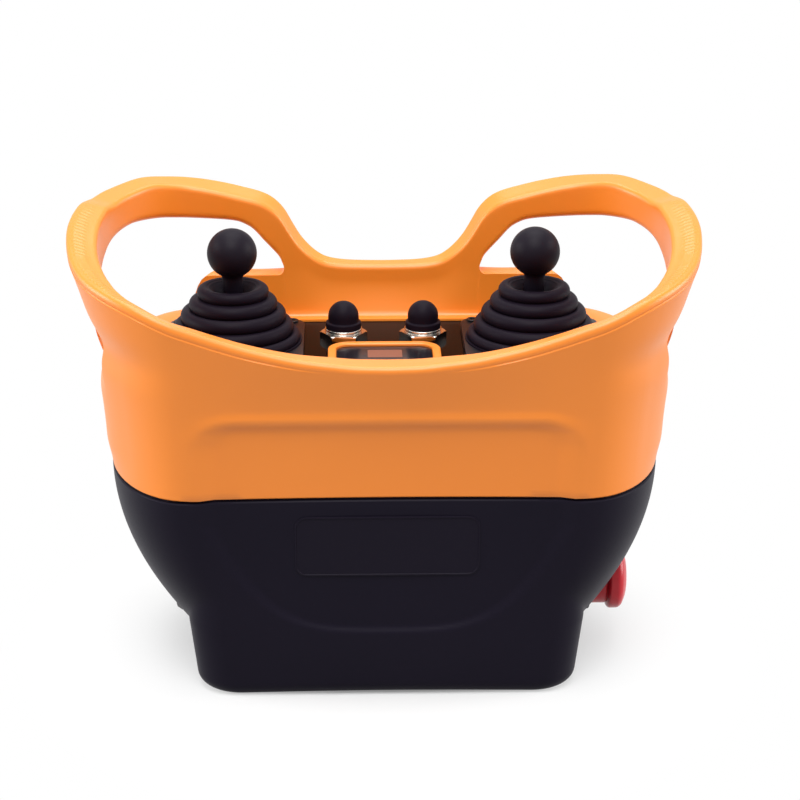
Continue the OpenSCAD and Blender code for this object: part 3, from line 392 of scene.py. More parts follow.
def carve(piece: Object, tool: Object) -> None:
    """Cut a tool out of a piece and remove the tool.

    Args:
        piece: Piece that is cut. Its mesh is replaced.
        tool: Closed shells, whose faces are turned outwards first.
    """
    work = bmesh.new()
    work.from_mesh(tool.data)
    bmesh.ops.remove_doubles(work, verts=work.verts, dist=1e-6)
    bmesh.ops.recalc_face_normals(work, faces=work.faces)
    work.to_mesh(tool.data)
    work.free()
    cut = piece.modifiers.new("cut", "BOOLEAN")
    cut.object, cut.operation, cut.solver = tool, "DIFFERENCE", "EXACT"
    bpy.context.view_layer.update()
    graph = bpy.context.evaluated_depsgraph_get()
    made, old = bpy.data.meshes.new_from_object(piece.evaluated_get(graph)), piece.data
    piece.modifiers.clear()
    piece.data = made
    bpy.data.meshes.remove(old)
    bpy.data.objects.remove(tool)


def stand_in(piece: Object, body: str, node: str) -> None:
    """Let a piece stand for a CAD node.

    Args:
        piece: Piece that is seen.
        body: Body on which it rides.
        node: Node that it replaces.
    """
    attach(piece, body)
    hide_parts(node)


# ---------------------------------------------------------------- finishes


def linear(hex_colour: str) -> tuple[float, float, float, float]:
    """Turn an sRGB hex colour such as "#f59a45" into linear red, green, blue and an alpha of 1."""
    parts = [int(hex_colour[i : i + 2], 16) / 255 for i in (1, 3, 5)]
    return *(c / 12.92 if c <= 0.04045 else ((c + 0.055) / 1.055) ** 2.4 for c in parts), 1.0


def add(tree: Tree, kind: str, inputs: dict | None = None, **settings: object) -> bpy.types.Node:
    """Add one shader node with its settings, values and links.

    Args:
        tree: Node tree that takes the node.
        kind: Blender's type name of the node.
        inputs: Socket name or number to a value, or to an output socket that is linked to it.
        settings: Attributes of the node itself.

    Returns:
        The new node.
    """
    node = tree.nodes.new(kind)
    for name, value in settings.items():
        setattr(node, name, value)
    for name, value in (inputs or {}).items():
        if isinstance(value, Socket):
            tree.links.new(value, node.inputs[name])
        else:
            node.inputs[name].default_value = value
    return node


def fresh_tree(owner: bpy.types.Material | bpy.types.World) -> Tree:
    """Empty the node tree of a new material or world.

    Args:
        owner: The material or world.

    Returns:
        Its tree, without nodes.
    """
    owner.use_nodes = True
    owner.node_tree.nodes.clear()
    return owner.node_tree


def seen(tree: Tree) -> Socket:
    """Add a value that is 1 where the camera looks, also through glass or in a mirror, and
    0 for the light that falls on other things.

    Args:
        tree: Node tree that takes the nodes.

    Returns:
        The socket that gives the value.
    """
    path = add(tree, "ShaderNodeLightPath").outputs
    value = path["Is Camera Ray"]
    for ray in ("Is Transmission Ray", "Is Glossy Ray"):
        value = add(tree, "ShaderNodeMath", {0: value, 1: path[ray]}, operation="MAXIMUM").outputs[0]
    return value


@dataclass(frozen=True)
class Finish:
    """One real material with the way its surface was made.

    A moulded or plated surface is a principled shader. Its colour drifts a little over the
    piece, and a fine grain, scaled from its size in millimetres, gives roughness and bump.
    The real grain is too fine to show, so it is drawn as coarse as half a millimetre to two.
    An index of refraction of 1.5 is usual for plastics and rubber, and a metal keeps it too,
    because it is the shader's own.
    """

    name: str
    colour: str
    shade: str
    roughness: float
    grain_mm: float
    grain_depth_mm: float
    metallic: float = 0.0
    drift_mm: float = 60.0
    spread: float = 0.06
    specular: float = 0.5
    ior: float = 1.5

    def material(self) -> bpy.types.Material:
        """Make the material once.

        Returns:
            The material, which is the same one each time.
        """
        found = bpy.data.materials.get(self.name)
        if found:
            return found
        made = bpy.data.materials.new(self.name)
        tree = fresh_tree(made)
        place = add(tree, "ShaderNodeTexCoord").outputs["Object"]
        drift = add(tree, "ShaderNodeTexNoise", {"Vector": place, "Scale": 1 / (self.drift_mm * MM), "Detail": 2.0})
        tone = add(
            tree, "ShaderNodeMix",
            {"Factor": drift.outputs["Fac"], COLOUR_A: linear(self.shade), COLOUR_B: linear(self.colour)},
            data_type="RGBA",
        )
        grain = add(
            tree, "ShaderNodeTexNoise",
            {"Vector": place, "Scale": 1 / (self.grain_mm * MM), "Detail": 3.0, "Roughness": 0.6},
        ).outputs["Fac"]
        rough = add(tree, "ShaderNodeMapRange", {
            "Value": grain, "To Min": max(self.roughness - self.spread, 0.0), "To Max": self.roughness + self.spread,
        })
        bump = add(
            tree, "ShaderNodeBump", {"Height": grain, "Distance": self.grain_depth_mm * MM, "Strength": 1.0}
        )
        shader = add(tree, "ShaderNodeBsdfPrincipled", {
            "Base Color": tone.outputs[COLOUR_OUT], "Roughness": rough.outputs["Result"],
            "Metallic": self.metallic, "IOR": self.ior, "Specular IOR Level": self.specular,
            "Normal": bump.outputs["Normal"],
        })
        add(tree, "ShaderNodeOutputMaterial", {"Surface": shader.outputs["BSDF"]})
        return made


# ABS with a fine eroded grain: satin, with a broad soft highlight
AMBER_ABS = Finish("abs_amber_moulded", "#f28827", "#ec8325", 0.38, 0.8, 0.012, specular=0.55)
# ABS in near-black violet, same grain: greyer where it faces the light
GRAPHITE_ABS = Finish("abs_graphite_moulded", "#1a1622", "#17141f", 0.44, 0.8, 0.012, specular=0.06)
# Acrylic-faced panel, polished: mirrors the amber wall behind it
GLOSSY_PANEL = Finish("acrylic_panel_polished", "#0d0808", "#0a0606", 0.1, 2.0, 0.002, spread=0.02, specular=0.025)
# Nitrile rubber, moulded: matt black, as if a little dusty
BOOT_RUBBER = Finish("nitrile_rubber_moulded", "#18111b", "#150f18", 0.5, 0.9, 0.015, specular=0.06)
# Nylon, moulded: black with a soft satin highlight
KNOB_NYLON = Finish("nylon_knob_satin", "#17121b", "#150f18", 0.48, 0.6, 0.006, specular=0.09)
# Glass-filled nylon, moulded: black with a dull sheen
CLAMP_NYLON = Finish("nylon_clamp_moulded", "#130f14", "#100d11", 0.34, 0.8, 0.01, specular=0.14)
# Brass, turned and nickel plated: a bright, slightly warm mirror
NICKEL = Finish("brass_nickel_plated", "#d9d6cf", "#cfccc6", 0.14, 1.2, 0.003, metallic=1.0, spread=0.03)
# Steel, turned and zinc plated: a soft grey shine
ZINC_STEEL = Finish("steel_zinc_plated", "#b9bcc0", "#aaadb2", 0.3, 1.0, 0.006, metallic=1.0)
# Steel, turned and blackened with oxide: dark, with a faint gleam on its edges
BLACK_STEEL = Finish("steel_black_oxide", "#1b1b1d", "#151517", 0.36, 0.8, 0.01, metallic=0.6)
# Acetal, moulded in a polished tool: clear red with a small, fairly sharp highlight
STOP_ACETAL = Finish("acetal_red_moulded", "#d4202f", "#c81c2a", 0.3, 0.9, 0.006, specular=0.35)
# Polycarbonate film, extruded with a fine matt face: the bare label, a shade off the case
LABEL_FILM = Finish("polycarbonate_film_matt", "#1a1622", "#18141f", 0.4, 0.5, 0.004, specular=0.07)
# Copper-clad laminate with green resist: even green, slightly glossy
BOARD_LAMINATE = Finish("laminate_green_resist", "#2f6b45", "#2a613e", 0.35, 1.5, 0.01)
# Film shrunk round the battery cells: grey with a slick highlight
BATTERY_FILM = Finish("shrink_film_grey", "#596069", "#50565e", 0.3, 1.5, 0.01)
# Phosphor bronze, rolled and bent into contacts: a warm shine
CONTACT_BRONZE = Finish("bronze_contact_rolled", "#c9a15a", "#bd9650", 0.3, 1.0, 0.006, metallic=1.0)
# Smoked acrylic, polished: nearly black, and it mirrors what is above the display
SMOKED_WINDOW = Finish("acrylic_smoked_polished", "#17141b", "#141118", 0.2, 2.0, 0.001, spread=0.02, specular=0.25)
# Liquid-crystal cell with nothing on it, as its window shows it: flat reddish brown
CELL_FACE = Finish("liquid_crystal_cell_blank", "#80452c", "#774028", 0.4, 2.0, 0.001)

# What dresses the CAD nodes that stay. The others are of zinc-plated steel.
NODE_FINISHES = {
    GLOSSY_PANEL: ("control_panel",),
    BOOT_RUBBER: ("seam_gasket", "panel_seal"),
    BOARD_LAMINATE: ("display_module", "main_board"),
    GRAPHITE_ABS: ("battery_holder", "battery_cover"),
    BATTERY_FILM: ("battery_pack",),
    CONTACT_BRONZE: ("battery_contacts",),
    KNOB_NYLON: ("left_stick_lever", "right_stick_lever"),
    CLAMP_NYLON: (
        "antenna", "key_switch_block", "stop_contact_block", "start_switch", "horn_switch",
        "left_stick_housing", "right_stick_housing",
    ),
}


def dress_frame(nodes: dict[str, Object]) -> None:
    """Give each CAD node the finish of its real material.

    Args:
        nodes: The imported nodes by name.
    """
    finishes = {name: finish for finish, names in NODE_FINISHES.items() for name in names}
    for name, node in nodes.items():
        node.data.materials.clear()
        node.data.materials.append(finishes.get(name, ZINC_STEEL).material())


# ---------------------------------------------------------------- housing


@dataclass(frozen=True)
class HousingForm:
    """Sizes and outlines that the case and the crown share, in millimetres.

    Directions are degrees from the front, round the vertical axis. A pair called rise or
    fall is the stretch of directions or levels over which a form comes in or goes out.
    """

    case_hw: float = 117.5
    case_hd: float = 63.0
    seam: float = 91.0
    gasket: float = 1.2
    case_end: float = 36.0
    belly_draw: float = 36.0
    belly_level: float = 14.0
    draft: float = 5.0
    foot_width: float = 161.0
    foot_gain: float = 7.0
    foot_height: float = 31.0
    foot_corner: float = 16.0
    foot_fillet: float = 6.0
    foot_blend: float = 2.5
    recess_hw: float = 76.6
    recess_low: float = 29.6
    recess_sag: float = 50.0
    recess_power: float = 3.5
    recess_top: float = 124.6
    recess_corner: float = 12.0
    recess_depth: float = 1.6
    recess_bevel: float = 2.6
    ridge_height: float = 0.75
    ridge_width: float = 2.1
    ridge_rise: Span = (51.0, 111.0)
    bow_depth: float = 1.5
    bow_width: float = 1.04
    bow_rise: Span = (15.47, 60.06)
    bow_fall: Span = (124.6, 153.1)
    least_ahead: float = 0.1
    rim_hw: float = 134.3
    rim_hd: float = 68.0
    rim_end: float = 50.0
    grip_dent: float = 2.2
    dent_rise: Span = (99.5, 106.0)
    dent_fall: Span = (107.0, 123.0)
    front_levels: Levels = (
        (0.0, 150.4), (10.0, 150.7), (20.0, 152.0), (27.6, 153.4), (34.0, 155.4), (40.5, 158.3), (46.0, 162.1),
        (50.5, 166.3), (54.8, 171.0), (57.3, 173.5), (60.0, 175.5), (64.0, 177.5), (68.0, 178.9), (72.0, 180.2),
        (76.0, 181.9), (80.0, 184.0), (85.0, 186.9), (90.0, 189.9), (95.0, 192.4), (100.0, 194.5), (105.0, 196.0),
        (110.0, 197.0), (114.0, 197.0),
    )
    rear_levels: Levels = (
        (110.0, 197.0), (118.0, 196.6), (124.0, 195.6), (129.0, 194.2), (133.0, 192.4), (137.0, 190.2),
        (140.5, 188.2), (142.7, 186.3), (144.8, 183.4), (146.6, 179.7), (148.6, 173.9), (150.8, 168.2),
        (153.0, 164.2), (155.6, 160.8), (158.2, 158.6), (161.0, 157.4), (165.0, 156.6), (170.0, 156.2),
        (180.0, 156.0),
    )
    rear_rise: Span = (114.0, 124.0)
    flare_power: float = 2.1
    side_bulge: float = 1.8
    bulge_rise: Span = (66.0, 80.0)
    bulge_fall: Span = (118.0, 134.0)

    @staticmethod
    def heading(a: Array) -> Array:
        """Direction folded onto one half: 0 is the front and 180 the back."""
        return np.where(a > TURN / 2, TURN - a, a)

    @staticmethod
    def aside_ahead(a: Array) -> tuple[Array, Array]:
        """How far a direction points sideways and how far to the front or back, from 0 to 1."""
        return np.abs(np.sin(np.radians(a))), np.abs(np.cos(np.radians(a)))

    def stadium(self, a: Array, hw: Array | float, hd: Array | float, end: Array | float) -> Array:
        """Distance from the axis to an outline with flat long sides and elliptical ends.

        On an end it is the greater root of the equation by which the ray meets the ellipse.

        Args:
            a: Directions.
            hw: Half width.
            hd: Half depth.
            end: Half width of the ellipses.

        Returns:
            Distances.
        """
        side, ahead = self.aside_ahead(a)
        flat = hw - end
        qa = (side / end) ** 2 + (ahead / hd) ** 2
        qb = -2 * side * flat / end**2
        qc = (flat / end) ** 2 - 1
        far = (-qb + np.sqrt(np.maximum(qb * qb - 4 * qa * qc, 0))) / (2 * qa)
        return np.where(side * hd <= flat * ahead, hd / np.maximum(ahead, TINY), far)

    def round_box(self, a: Array, hw: Array | float, hd: Array | float, corner: float) -> Array:
        """Distance from the axis to a rectangle with round corners.

        At a corner it is the greater root of the equation by which the ray meets its circle.

        Args:
            a: Directions.
            hw: Half width.
            hd: Half depth.
            corner: Corner radius.

        Returns:
            Distances.
        """
        side, ahead = self.aside_ahead(a)
        cx, cy = hw - corner, hd - corner
        along = cx * side + cy * ahead
        turn = along + np.sqrt(np.maximum(along**2 - cx**2 - cy**2 + corner**2, 0))
        on_side = np.where(ahead * hw <= cy * side, hw / np.maximum(side, TINY), turn)
        return np.where(side * hd <= cx * ahead, hd / np.maximum(ahead, TINY), on_side)

    def recess(self, x: Array, z: Array) -> Array:
        """Depth of the sunk front panel, less the height of the soft ridge round it.

        The way in from the edge is the least distance from a power curve below, from straight
        sides and from a top edge with round corners. The panel is eased over its bevel's
        width, and the ridge is a bell curve just outside the edge.

        Args:
            x: Places across the front.
            z: Levels.

        Returns:
            Depths, below 0 on the ridge.
        """
        share = np.abs(x) / self.recess_hw
        rise = self.recess_sag * share**self.recess_power
        slope = self.recess_power * self.recess_sag * share ** (self.recess_power - 1) / self.recess_hw
        from_low = (z - self.recess_low - rise) / np.sqrt(1 + slope**2)
        from_side, from_top = self.recess_hw - np.abs(x), self.recess_top - z
        c = self.recess_corner
        nook = c - np.hypot(c - from_side, c - from_top)
        inner = np.where((from_side < c) & (from_top < c), nook, np.minimum(from_side, from_top))
        inward = np.minimum(from_low, inner)
        ridge = self.ridge_height * bell(inward, -self.ridge_width, self.ridge_width)
        return self.recess_depth * ease(inward, 0, self.recess_bevel) - ridge * ease(z, *self.ridge_rise)

    def bow(self, x: Array, z: Array) -> Array:
        """Hollow of the front face: a parabola across, faded towards the base and the rim."""
        hollow = self.bow_depth * np.maximum(1 - (x / (self.recess_hw * self.bow_width)) ** 2, 0)
        return hump(z, self.bow_rise, self.bow_fall, hollow)

    def face(self, z: Array) -> Array:
        """Distance of the front face from the middle plane, which the draft lowers evenly downwards."""
        return self.case_hd - self.draft * (1 - z / self.seam)

    def relieved(self, a: Array, r: Array, z: Array) -> Array:
        """Take the front's panel and hollow off.

        Their depth is square to the front, so along a ray it is divided by the ray's cosine.

        Args:
            a: Directions.
            r: Distances of the plain outside.
            z: Levels.

        Returns:
            Distances of the relieved outside.
        """
        x, ahead = r * np.sin(np.radians(a)), np.cos(np.radians(a))
        cut = (self.recess(x, z) + self.bow(x, z)) / np.maximum(ahead, self.least_ahead)
        return np.where(ahead > self.least_ahead, r - cut, r)

    def case_r(self, a: Array, z: Array, inset: float = 0.0, front: float = 0.0) -> Array:
        """Outer distance of the lower case: the softened greater of a belly and a foot.

        The greater of p and q is softened over a width w to (p + q + sqrt((p - q)^2 + w^2)) / 2.

        Args:
            a: Directions.
            z: Levels.
            inset: How far inside the outline the sides lie.
            front: How far inside it the front and the back lie.

        Returns:
            Distances.
        """
        down = (self.seam - z) / (self.seam - self.belly_level)
        hd = self.face(z) - front
        belly_hw = self.case_hw - self.belly_draw * down**2 - inset
        belly = self.stadium(a, belly_hw, hd, self.case_end + self.foot_corner * down**2 / 2 - inset)
        foot_hw = (self.foot_width + self.foot_gain * np.minimum(z / self.foot_height, 1)) / 2 - inset
        foot = self.round_box(a, foot_hw, hd, self.foot_corner - inset)
        width = self.foot_blend * np.sin(np.radians(a)) ** 2 * np.minimum(down, 1)
        greater = (belly + foot + np.sqrt((belly - foot) ** 2 + (width / 2) ** 2)) / 2
        top = self.stadium(a, self.case_hw - inset, hd, self.case_end - inset)
        return np.where(z >= self.seam - self.gasket, top, greater)

    def rim_level(self, a: Array) -> Array:
        """Level of the rim: low in front, high at the handles, with a dip at the back.

        A monotone cubic curve runs through front_levels, and dents a little behind each grip.
        Another runs through rear_levels, and both are mixed over a few degrees.

        Args:
            a: Directions.

        Returns:
            Levels.
        """
        d = self.heading(a)
        rise = monotone(self.front_levels, d) - hump(d, self.dent_rise, self.dent_fall, self.grip_dent)
        mix = ease(d, *self.rear_rise)
        return rise * (1 - mix) + monotone(self.rear_levels, d) * mix

    def rim_frame(self, a: Array) -> tuple[Array, Array]:
        """Points of the rim's outline in plan, and its outward normals there.

        On the flat sides the normal is square to them. On the elliptical ends it follows the
        gradient of the ellipse's equation.

        Args:
            a: Directions.

        Returns:
            The points and the normals, each with x and y last.
        """
        r = self.stadium(a, self.rim_hw, self.rim_hd, self.rim_end)
        x, y = r * np.sin(np.radians(a)), -r * np.cos(np.radians(a))
        past = np.maximum(np.abs(x) - (self.rim_hw - self.rim_end), 0)
        gx, gy = np.sign(x) * past / self.rim_end**2, y / self.rim_hd**2
        size = np.hypot(gx, gy)
        return np.stack([x, y], -1), np.stack([gx / size, gy / size], -1)

    def flare(self, a: Array, z: Array) -> Array:
        """Outer distance of the crown: from the seam's outline to the rim's by a power law,
        less the front's panel and hollow.

        Args:
            a: Directions.
            z: Levels.

        Returns:
            Distances.
        """
        up = np.maximum((z - self.seam) / (self.rim_level(a) - self.seam), 0)
        low = self.stadium(a, self.case_hw, self.case_hd, self.case_end)
        high = self.stadium(a, self.rim_hw, self.rim_hd, self.rim_end)
        return self.relieved(a, low + (high - low) * up**self.flare_power, z)


@dataclass(frozen=True)
class Stations:
    """What the crown's grids share at each direction: one row for each, in millimetres."""

    a: Array  # direction, in degrees
    d: Array  # direction folded onto one half
    rim: Array  # level of the rim
    wide: Array  # how far a window is open, from 0 to 1
    floor: Array  # level of a window's lower edge
    roof: Array  # level of its upper edge
    place: Array  # point of the rim's outline in plan
    normal: Array  # outward normal there
    width: Array  # width of the rim's top
    fall: Array  # how much lower its inner edge is
    wall_a: Array  # direction in which the inner wall's foot lies

    def pick(self, mask: Array) -> "Stations":
        """The same for some of the directions."""
        return Stations(**{name: value[mask] for name, value in vars(self).items()})


@dataclass
class Crown:
    """Amber crown: a flared wall, two windowed handle bands, the rim and the shelf inside."""

    form: HousingForm = HousingForm()
    base: float = 91.6
    chamfer: float = 0.5
    side_wall: float = 134.8
    back_wall: float = 153.0
    back_rise: Span = (124.0, 131.0)
    window_span: Span = (75.0, 147.2)
    nose_front: float = 5.0
    nose_rear: float = 1.6
    side_round: float = 6.0
    back_round: float = 3.0
    round_change: Span = (112.0, 130.0)
    round_reach: float = 8.0
    round_height: float = 0.28
    bulge_height: float = 0.3
    rim_widths: Levels = (
        (0.0, 13.6), (14.0, 13.4), (27.0, 11.8), (34.0, 11.2), (41.0, 11.4), (50.0, 11.4), (57.0, 9.6),
        (61.0, 9.4), (65.5, 10.6), (71.0, 12.6), (77.0, 13.6), (91.0, 14.2), (96.5, 14.2), (104.0, 13.6),
        (113.0, 13.2), (126.0, 12.8), (142.0, 11.8), (150.0, 11.0), (160.0, 9.2), (180.0, 8.6),
    )
    rim_falls: Levels = (
        (0.0, 0.1), (48.0, 0.2), (57.0, 1.2), (70.0, 1.0), (113.0, 1.0), (126.0, 1.1), (138.0, 1.9),
        (146.0, 1.6), (156.0, 0.8), (180.0, 0.6),
    )
    roof_levels: Levels = (
        (0.0, 141.0), (62.0, 141.0), (70.0, 144.0), (78.0, 151.0), (84.0, 157.6), (90.0, 164.5), (96.0, 171.5),
        (100.8, 175.4), (107.6, 178.6), (113.5, 179.9), (120.6, 179.5), (125.4, 178.7), (131.7, 177.8),
        (136.2, 176.7), (139.2, 173.9), (142.5, 167.0), (146.2, 159.4), (147.2, 157.0), (180.0, 156.5),
    )
    edge: float = 3.0
    inner_edge: float = 0.8
    shelf_hw: float = 101.5
    shelf_hd: float = 55.2
    shelf_end: float = 24.0
    shelf: float = 133.0
    lean: float = 1.2
    cove: float = 1.5
    cove_foot: float = 0.8
    sill_swell: float = 0.5
    wall_front: float = 11.3
    wall_side: float = 31.6
    opening_hw: float = 96.3
    opening_hd: float = 50.3
    opening_corner: float = 12.3
    lip_width: float = 2.3
    lip_top: float = 128.4
    lip_under: float = 125.8
    gusset: float = 119.8
    hollow_side: float = 4.0
    hollow_front: float = 6.8
    closed_rise: Span = (60.0, 70.0)
    tail_fall: Span = (70.0, 76.0)
    tail_height: float = 10.0
    waist_depth: float = 2.4
    waist_level: float = 149.0
    waist_height: float = 8.0
    waist_rise: Span = (50.0, 70.0)
    waist_fall: Span = (94.0, 108.0)
    step_height: float = 0.4
    step_under: Span = (3.7, 4.1)
    step_rise: Span = (16.0, 40.0)
    step_fall: Span = (84.0, 94.0)
    step_room: float = 2.2
    groove_height: float = 0.12
    groove_under: float = 3.5
    groove_width: float = 0.3
    rib_pitch: float = 2.6
    rib_depth: float = 0.22
    rib_slant: float = 4.0
    grip_rise: Span = (63.5, 67.5)
    grip_fall: Span = (96.0, 104.0)
    grip_raise: float = 0.7
    pad_rise: Span = (0.0, 0.14)
    pad_fall: Span = (0.58, 0.76)
    across: tuple[float, ...] = (0.06, 0.14, 0.24, 0.34, 0.44, 0.5, 0.56, 0.64, 0.8, 1.0)

    def directions(self) -> Array:
        """Directions of the stations, closer together at the windows' ends and on the grip.

        Returns:
            Degrees from 0 to just under 360, the same on both sides of the front.
        """
        first, last = self.window_span
        start, end = self.grip_rise[0], self.grip_fall[1]
        nose = (1 - np.cos(np.linspace(0, QUARTER, 9)))[1:]
        half = np.concatenate([
            np.linspace(0, start, 46),
            np.linspace(start, first, 46),
            first + self.nose_front * nose,
            np.linspace(first + self.nose_front, end, 146),
            np.linspace(end, last - self.nose_rear, 48),
            last - self.nose_rear * nose,
            np.linspace(last, TURN / 2, 48),
        ])
        half = np.unique(np.round(half, ANGLE_DIGITS))
        return np.concatenate([half, TURN - half[-2:0:-1]])

    def openness(self, d: Array) -> Array:
        """How far a window is open: a half ellipse at each of its ends.

        Args:
            d: Directions folded onto one half.

        Returns:
            Shares from 0 to 1.
        """
        first, last = self.window_span
        front = np.clip((d - first) / self.nose_front, 0, 1)
        rear = np.clip((last - d) / self.nose_rear, 0, 1)
        return np.sqrt(1 - (1 - front) ** 2) * np.sqrt(1 - (1 - rear) ** 2)

    def stations(self) -> Stations:
        """Work out what the grids share at each direction.

        A window's edges part from their middle by its openness. The wall's foot lies square
        in from the rim by a depth that grows with the square of the normal's sideways share.

        Returns:
            The stations, one for each direction.
        """
        a = self.directions()[:, None]
        d, rim = self.form.heading(a), self.form.rim_level(a)
        wide = self.openness(d)
        low = self.side_wall + (self.back_wall - self.side_wall) * ease(d, *self.back_rise)
        low = np.minimum(low, rim - 3 * self.edge)
        high = np.minimum(monotone(self.roof_levels, d), rim - 2.5 * self.edge)
        high = np.maximum(high, low + self.edge / 3)
        middle = (low + high) / 2
        place, normal = self.form.rim_frame(a)
        depth = self.wall_front + (self.wall_side - self.wall_front) * normal[..., 0] ** 2
        spot = place - normal * depth[..., None]
        return Stations(
            a, d, rim, wide, middle - (middle - low) * wide, middle + (high - middle) * wide, place, normal,
            monotone(self.rim_widths, d), monotone(self.rim_falls, d),
            np.degrees(np.arctan2(spot[..., 0], -spot[..., 1])),
        )

    def waist(self, s: Stations, z: Array) -> Array:
        """Depth of the hollow under the flare at each side: a bell curve over the height."""
        share = hump(s.d, self.waist_rise, self.waist_fall)
        return self.waist_depth * share * bell(z, self.waist_level, self.waist_height)

    def bulge(self, s: Stations) -> Array:
        """How far the side wall bulges."""
        return hump(s.d, self.form.bulge_rise, self.form.bulge_fall, self.form.side_bulge)

    def outer_wall(self, s: Stations, z: Array) -> Array:
        """Outer distance of the wall: the flare, plus the side bulge and less the quarter
        ellipse by which the wall's top rounds off under a window.

        Args:
            s: Stations.
            z: Levels, one or more for each.

        Returns:
            Distances.
        """
        seam = self.form.seam
        first, last = self.window_span
        away = np.clip((s.d - first) / self.round_reach, 0, 1) * np.clip((last - s.d) / self.round_reach, 0, 1)
        bulge = self.bulge(s) * ease(z, seam, seam + (self.side_wall - seam) * self.bulge_height)
        size = self.side_round + (self.back_round - self.side_round) * ease(s.d, *self.round_change)
        start = s.floor - (s.floor - seam) * self.round_height
        t = np.clip((z - start) / (s.floor - start), 0, 1)
        drop = np.sqrt(away) * size * (1 - np.sqrt(1 - t**2)) * (z <= s.floor + TINY)
        share = np.where(s.wide > 0, 1, ease(s.d, *self.closed_rise))
        return self.form.flare(s.a, z) - self.waist(s, z) + (bulge - drop) * share

    def outer_band(self, s: Stations, z: Array) -> Array:
        """Outer distance of the band, with the thin step and groove that run under the rim.

        In front of a window the wall's bulge runs out into the band, so that both meet on
        one curve there.

        Args:
            s: Stations.
            z: Levels, one or more for each.

        Returns:
            Distances.
        """
        under = s.rim - z
        groove = self.groove_height * bell(under, self.groove_under, self.groove_width)
        step = self.step_height * (1 - ease(under, *self.step_under)) + groove
        lip = hump(s.d, self.step_rise, self.step_fall, -step)
        tail = self.bulge(s) * (1 - ease(z, s.floor, s.floor + self.tail_height))
        share = np.where(s.wide > 0, 1 - ease(s.d, *self.tail_fall), ease(s.d, *self.closed_rise))
        return self.form.flare(s.a, z) + lip + tail * share - self.waist(s, z)

    def outside(self, s: Stations, z: Array, cut: Array | float = 0.0) -> Array:
        """Points of the band's outside, moved in by a cut for a rounding."""
        return around(s.a, self.outer_band(s, z) - cut, z)

    def inside(self, s: Stations, z: Array, out: Array | float = 0.0) -> Array:
        """Points of the upright inner face, square across from the rim's outline.

        Args:
            s: Stations.
            z: Levels, one or more for each.
            out: How far outwards the points are moved, for a rounding.

        Returns:
            Grid of stations x levels x 3.
        """
        depth = s.width - out + np.zeros_like(z)
        plan = s.place - s.normal * depth[..., None]
        return np.concatenate([plan, np.broadcast_to(z, plan.shape[:-1])[..., None]], -1)

    def sill(self, s: Stations) -> Array:
        """Inner edge of a window's sill, or the closed wall's inside beside it.

        The point moves straight from the wall's inside to the shelf's edge with the openness.

        Args:
            s: Stations.

        Returns:
            One point for each station.
        """
        shut = self.inside(s, s.floor)
        sizes = (self.shelf_hw + self.lean, self.shelf_hd + self.lean, self.shelf_end + self.lean)
        edge = around(s.wall_a, self.form.stadium(s.wall_a, *sizes), s.floor)
        return shut + (edge - shut) * s.wide[..., None]

    def grip(self, s: Stations, t: Array) -> Array:
        """Height of the grip on the rim's top: a pad with a wave of fine slanted ribs.

        The ribs are a cosine of the length along the rim, whose phase moves on across it.

        Args:
            s: Stations.
            t: Shares of the way across the rim, from the outside.

        Returns:
            Height above the plain rim, for each station and share.
        """
        reach = np.radians(s.d) * self.form.rim_hw
        zone = hump(s.d, self.grip_rise, self.grip_fall) * hump(t, self.pad_rise, self.pad_fall)
        wave = 0.5 - 0.5 * np.cos(2 * np.pi * (reach + self.rib_slant * t) / self.rib_pitch)
        return zone * (self.grip_raise - self.rib_depth * wave)

    def build(self) -> None:
        """Build the crown from two walls, the band over them and the windows' linings."""
        s = self.stations()
        foot = self.outer_wall(s, np.full_like(s.a, self.base)) - self.chamfer
        start = self.base + self.chamfer
        z = start + (s.floor - self.base - self.chamfer) * (1 - (1 - row(34) ** 0.9) ** 1.5)
        wall = [around(s.a, foot, self.base), around(s.a, self.outer_wall(s, z), z)]
        skin = Skin()
        for grid in (np.concatenate(wall, 1), self.band_grid(s), self.inside_grid(s, foot)):
            skin.grid(grid, wrap=True, flip=True)
        self.line_windows(skin, s)
        stand_in(skin.piece("crown_moulding", AMBER_ABS, 34.0), "housing", "crown_housing")

    def band_grid(self, s: Stations) -> Array:
        """Band from the windows' upper edge, up the outside, over the rim and down the inside.

        Its four edges are quarter ellipses, with even or straight spans between them.

        Args:
            s: Stations.

        Returns:
            Grid of stations x rows x 3.
        """
        edge, inner_edge, soft = self.edge, self.edge * self.inner_edge, self.edge * s.wide
        arc = row(7, QUARTER)
        out, back = 1 - np.cos(arc), 1 - np.sin(arc)
        out_on, back_on = out[:, 1:], back[:, 1:]
        below = s.rim - edge - self.step_room
        low = s.rim - s.fall - inner_edge
        top = self.outside(s, s.rim - edge + edge * np.sin(arc[:, 1:]), edge * out_on)
        t = np.array(self.across)[None, :]
        start, end = top[:, -1:], self.inside(s, s.rim - s.fall, inner_edge)
        across = start + (end - start) * t[..., None]
        across[..., 2] += self.grip(s, t)
        return np.concatenate([
            self.outside(s, s.roof + soft * out, soft * back),
            self.outside(s, s.roof + soft + (below - s.roof - soft) * row(18)[:, 1:]),
            self.outside(s, below + self.step_room * row(12)[:, 1:]),
            top,
            across,
            self.inside(s, s.rim - s.fall - inner_edge * out_on, inner_edge * back_on),
            self.inside(s, low + (s.roof + soft - low) * row(10)[:, 1:]),
            self.inside(s, s.roof + soft * back_on, soft * out_on),
        ], 1)

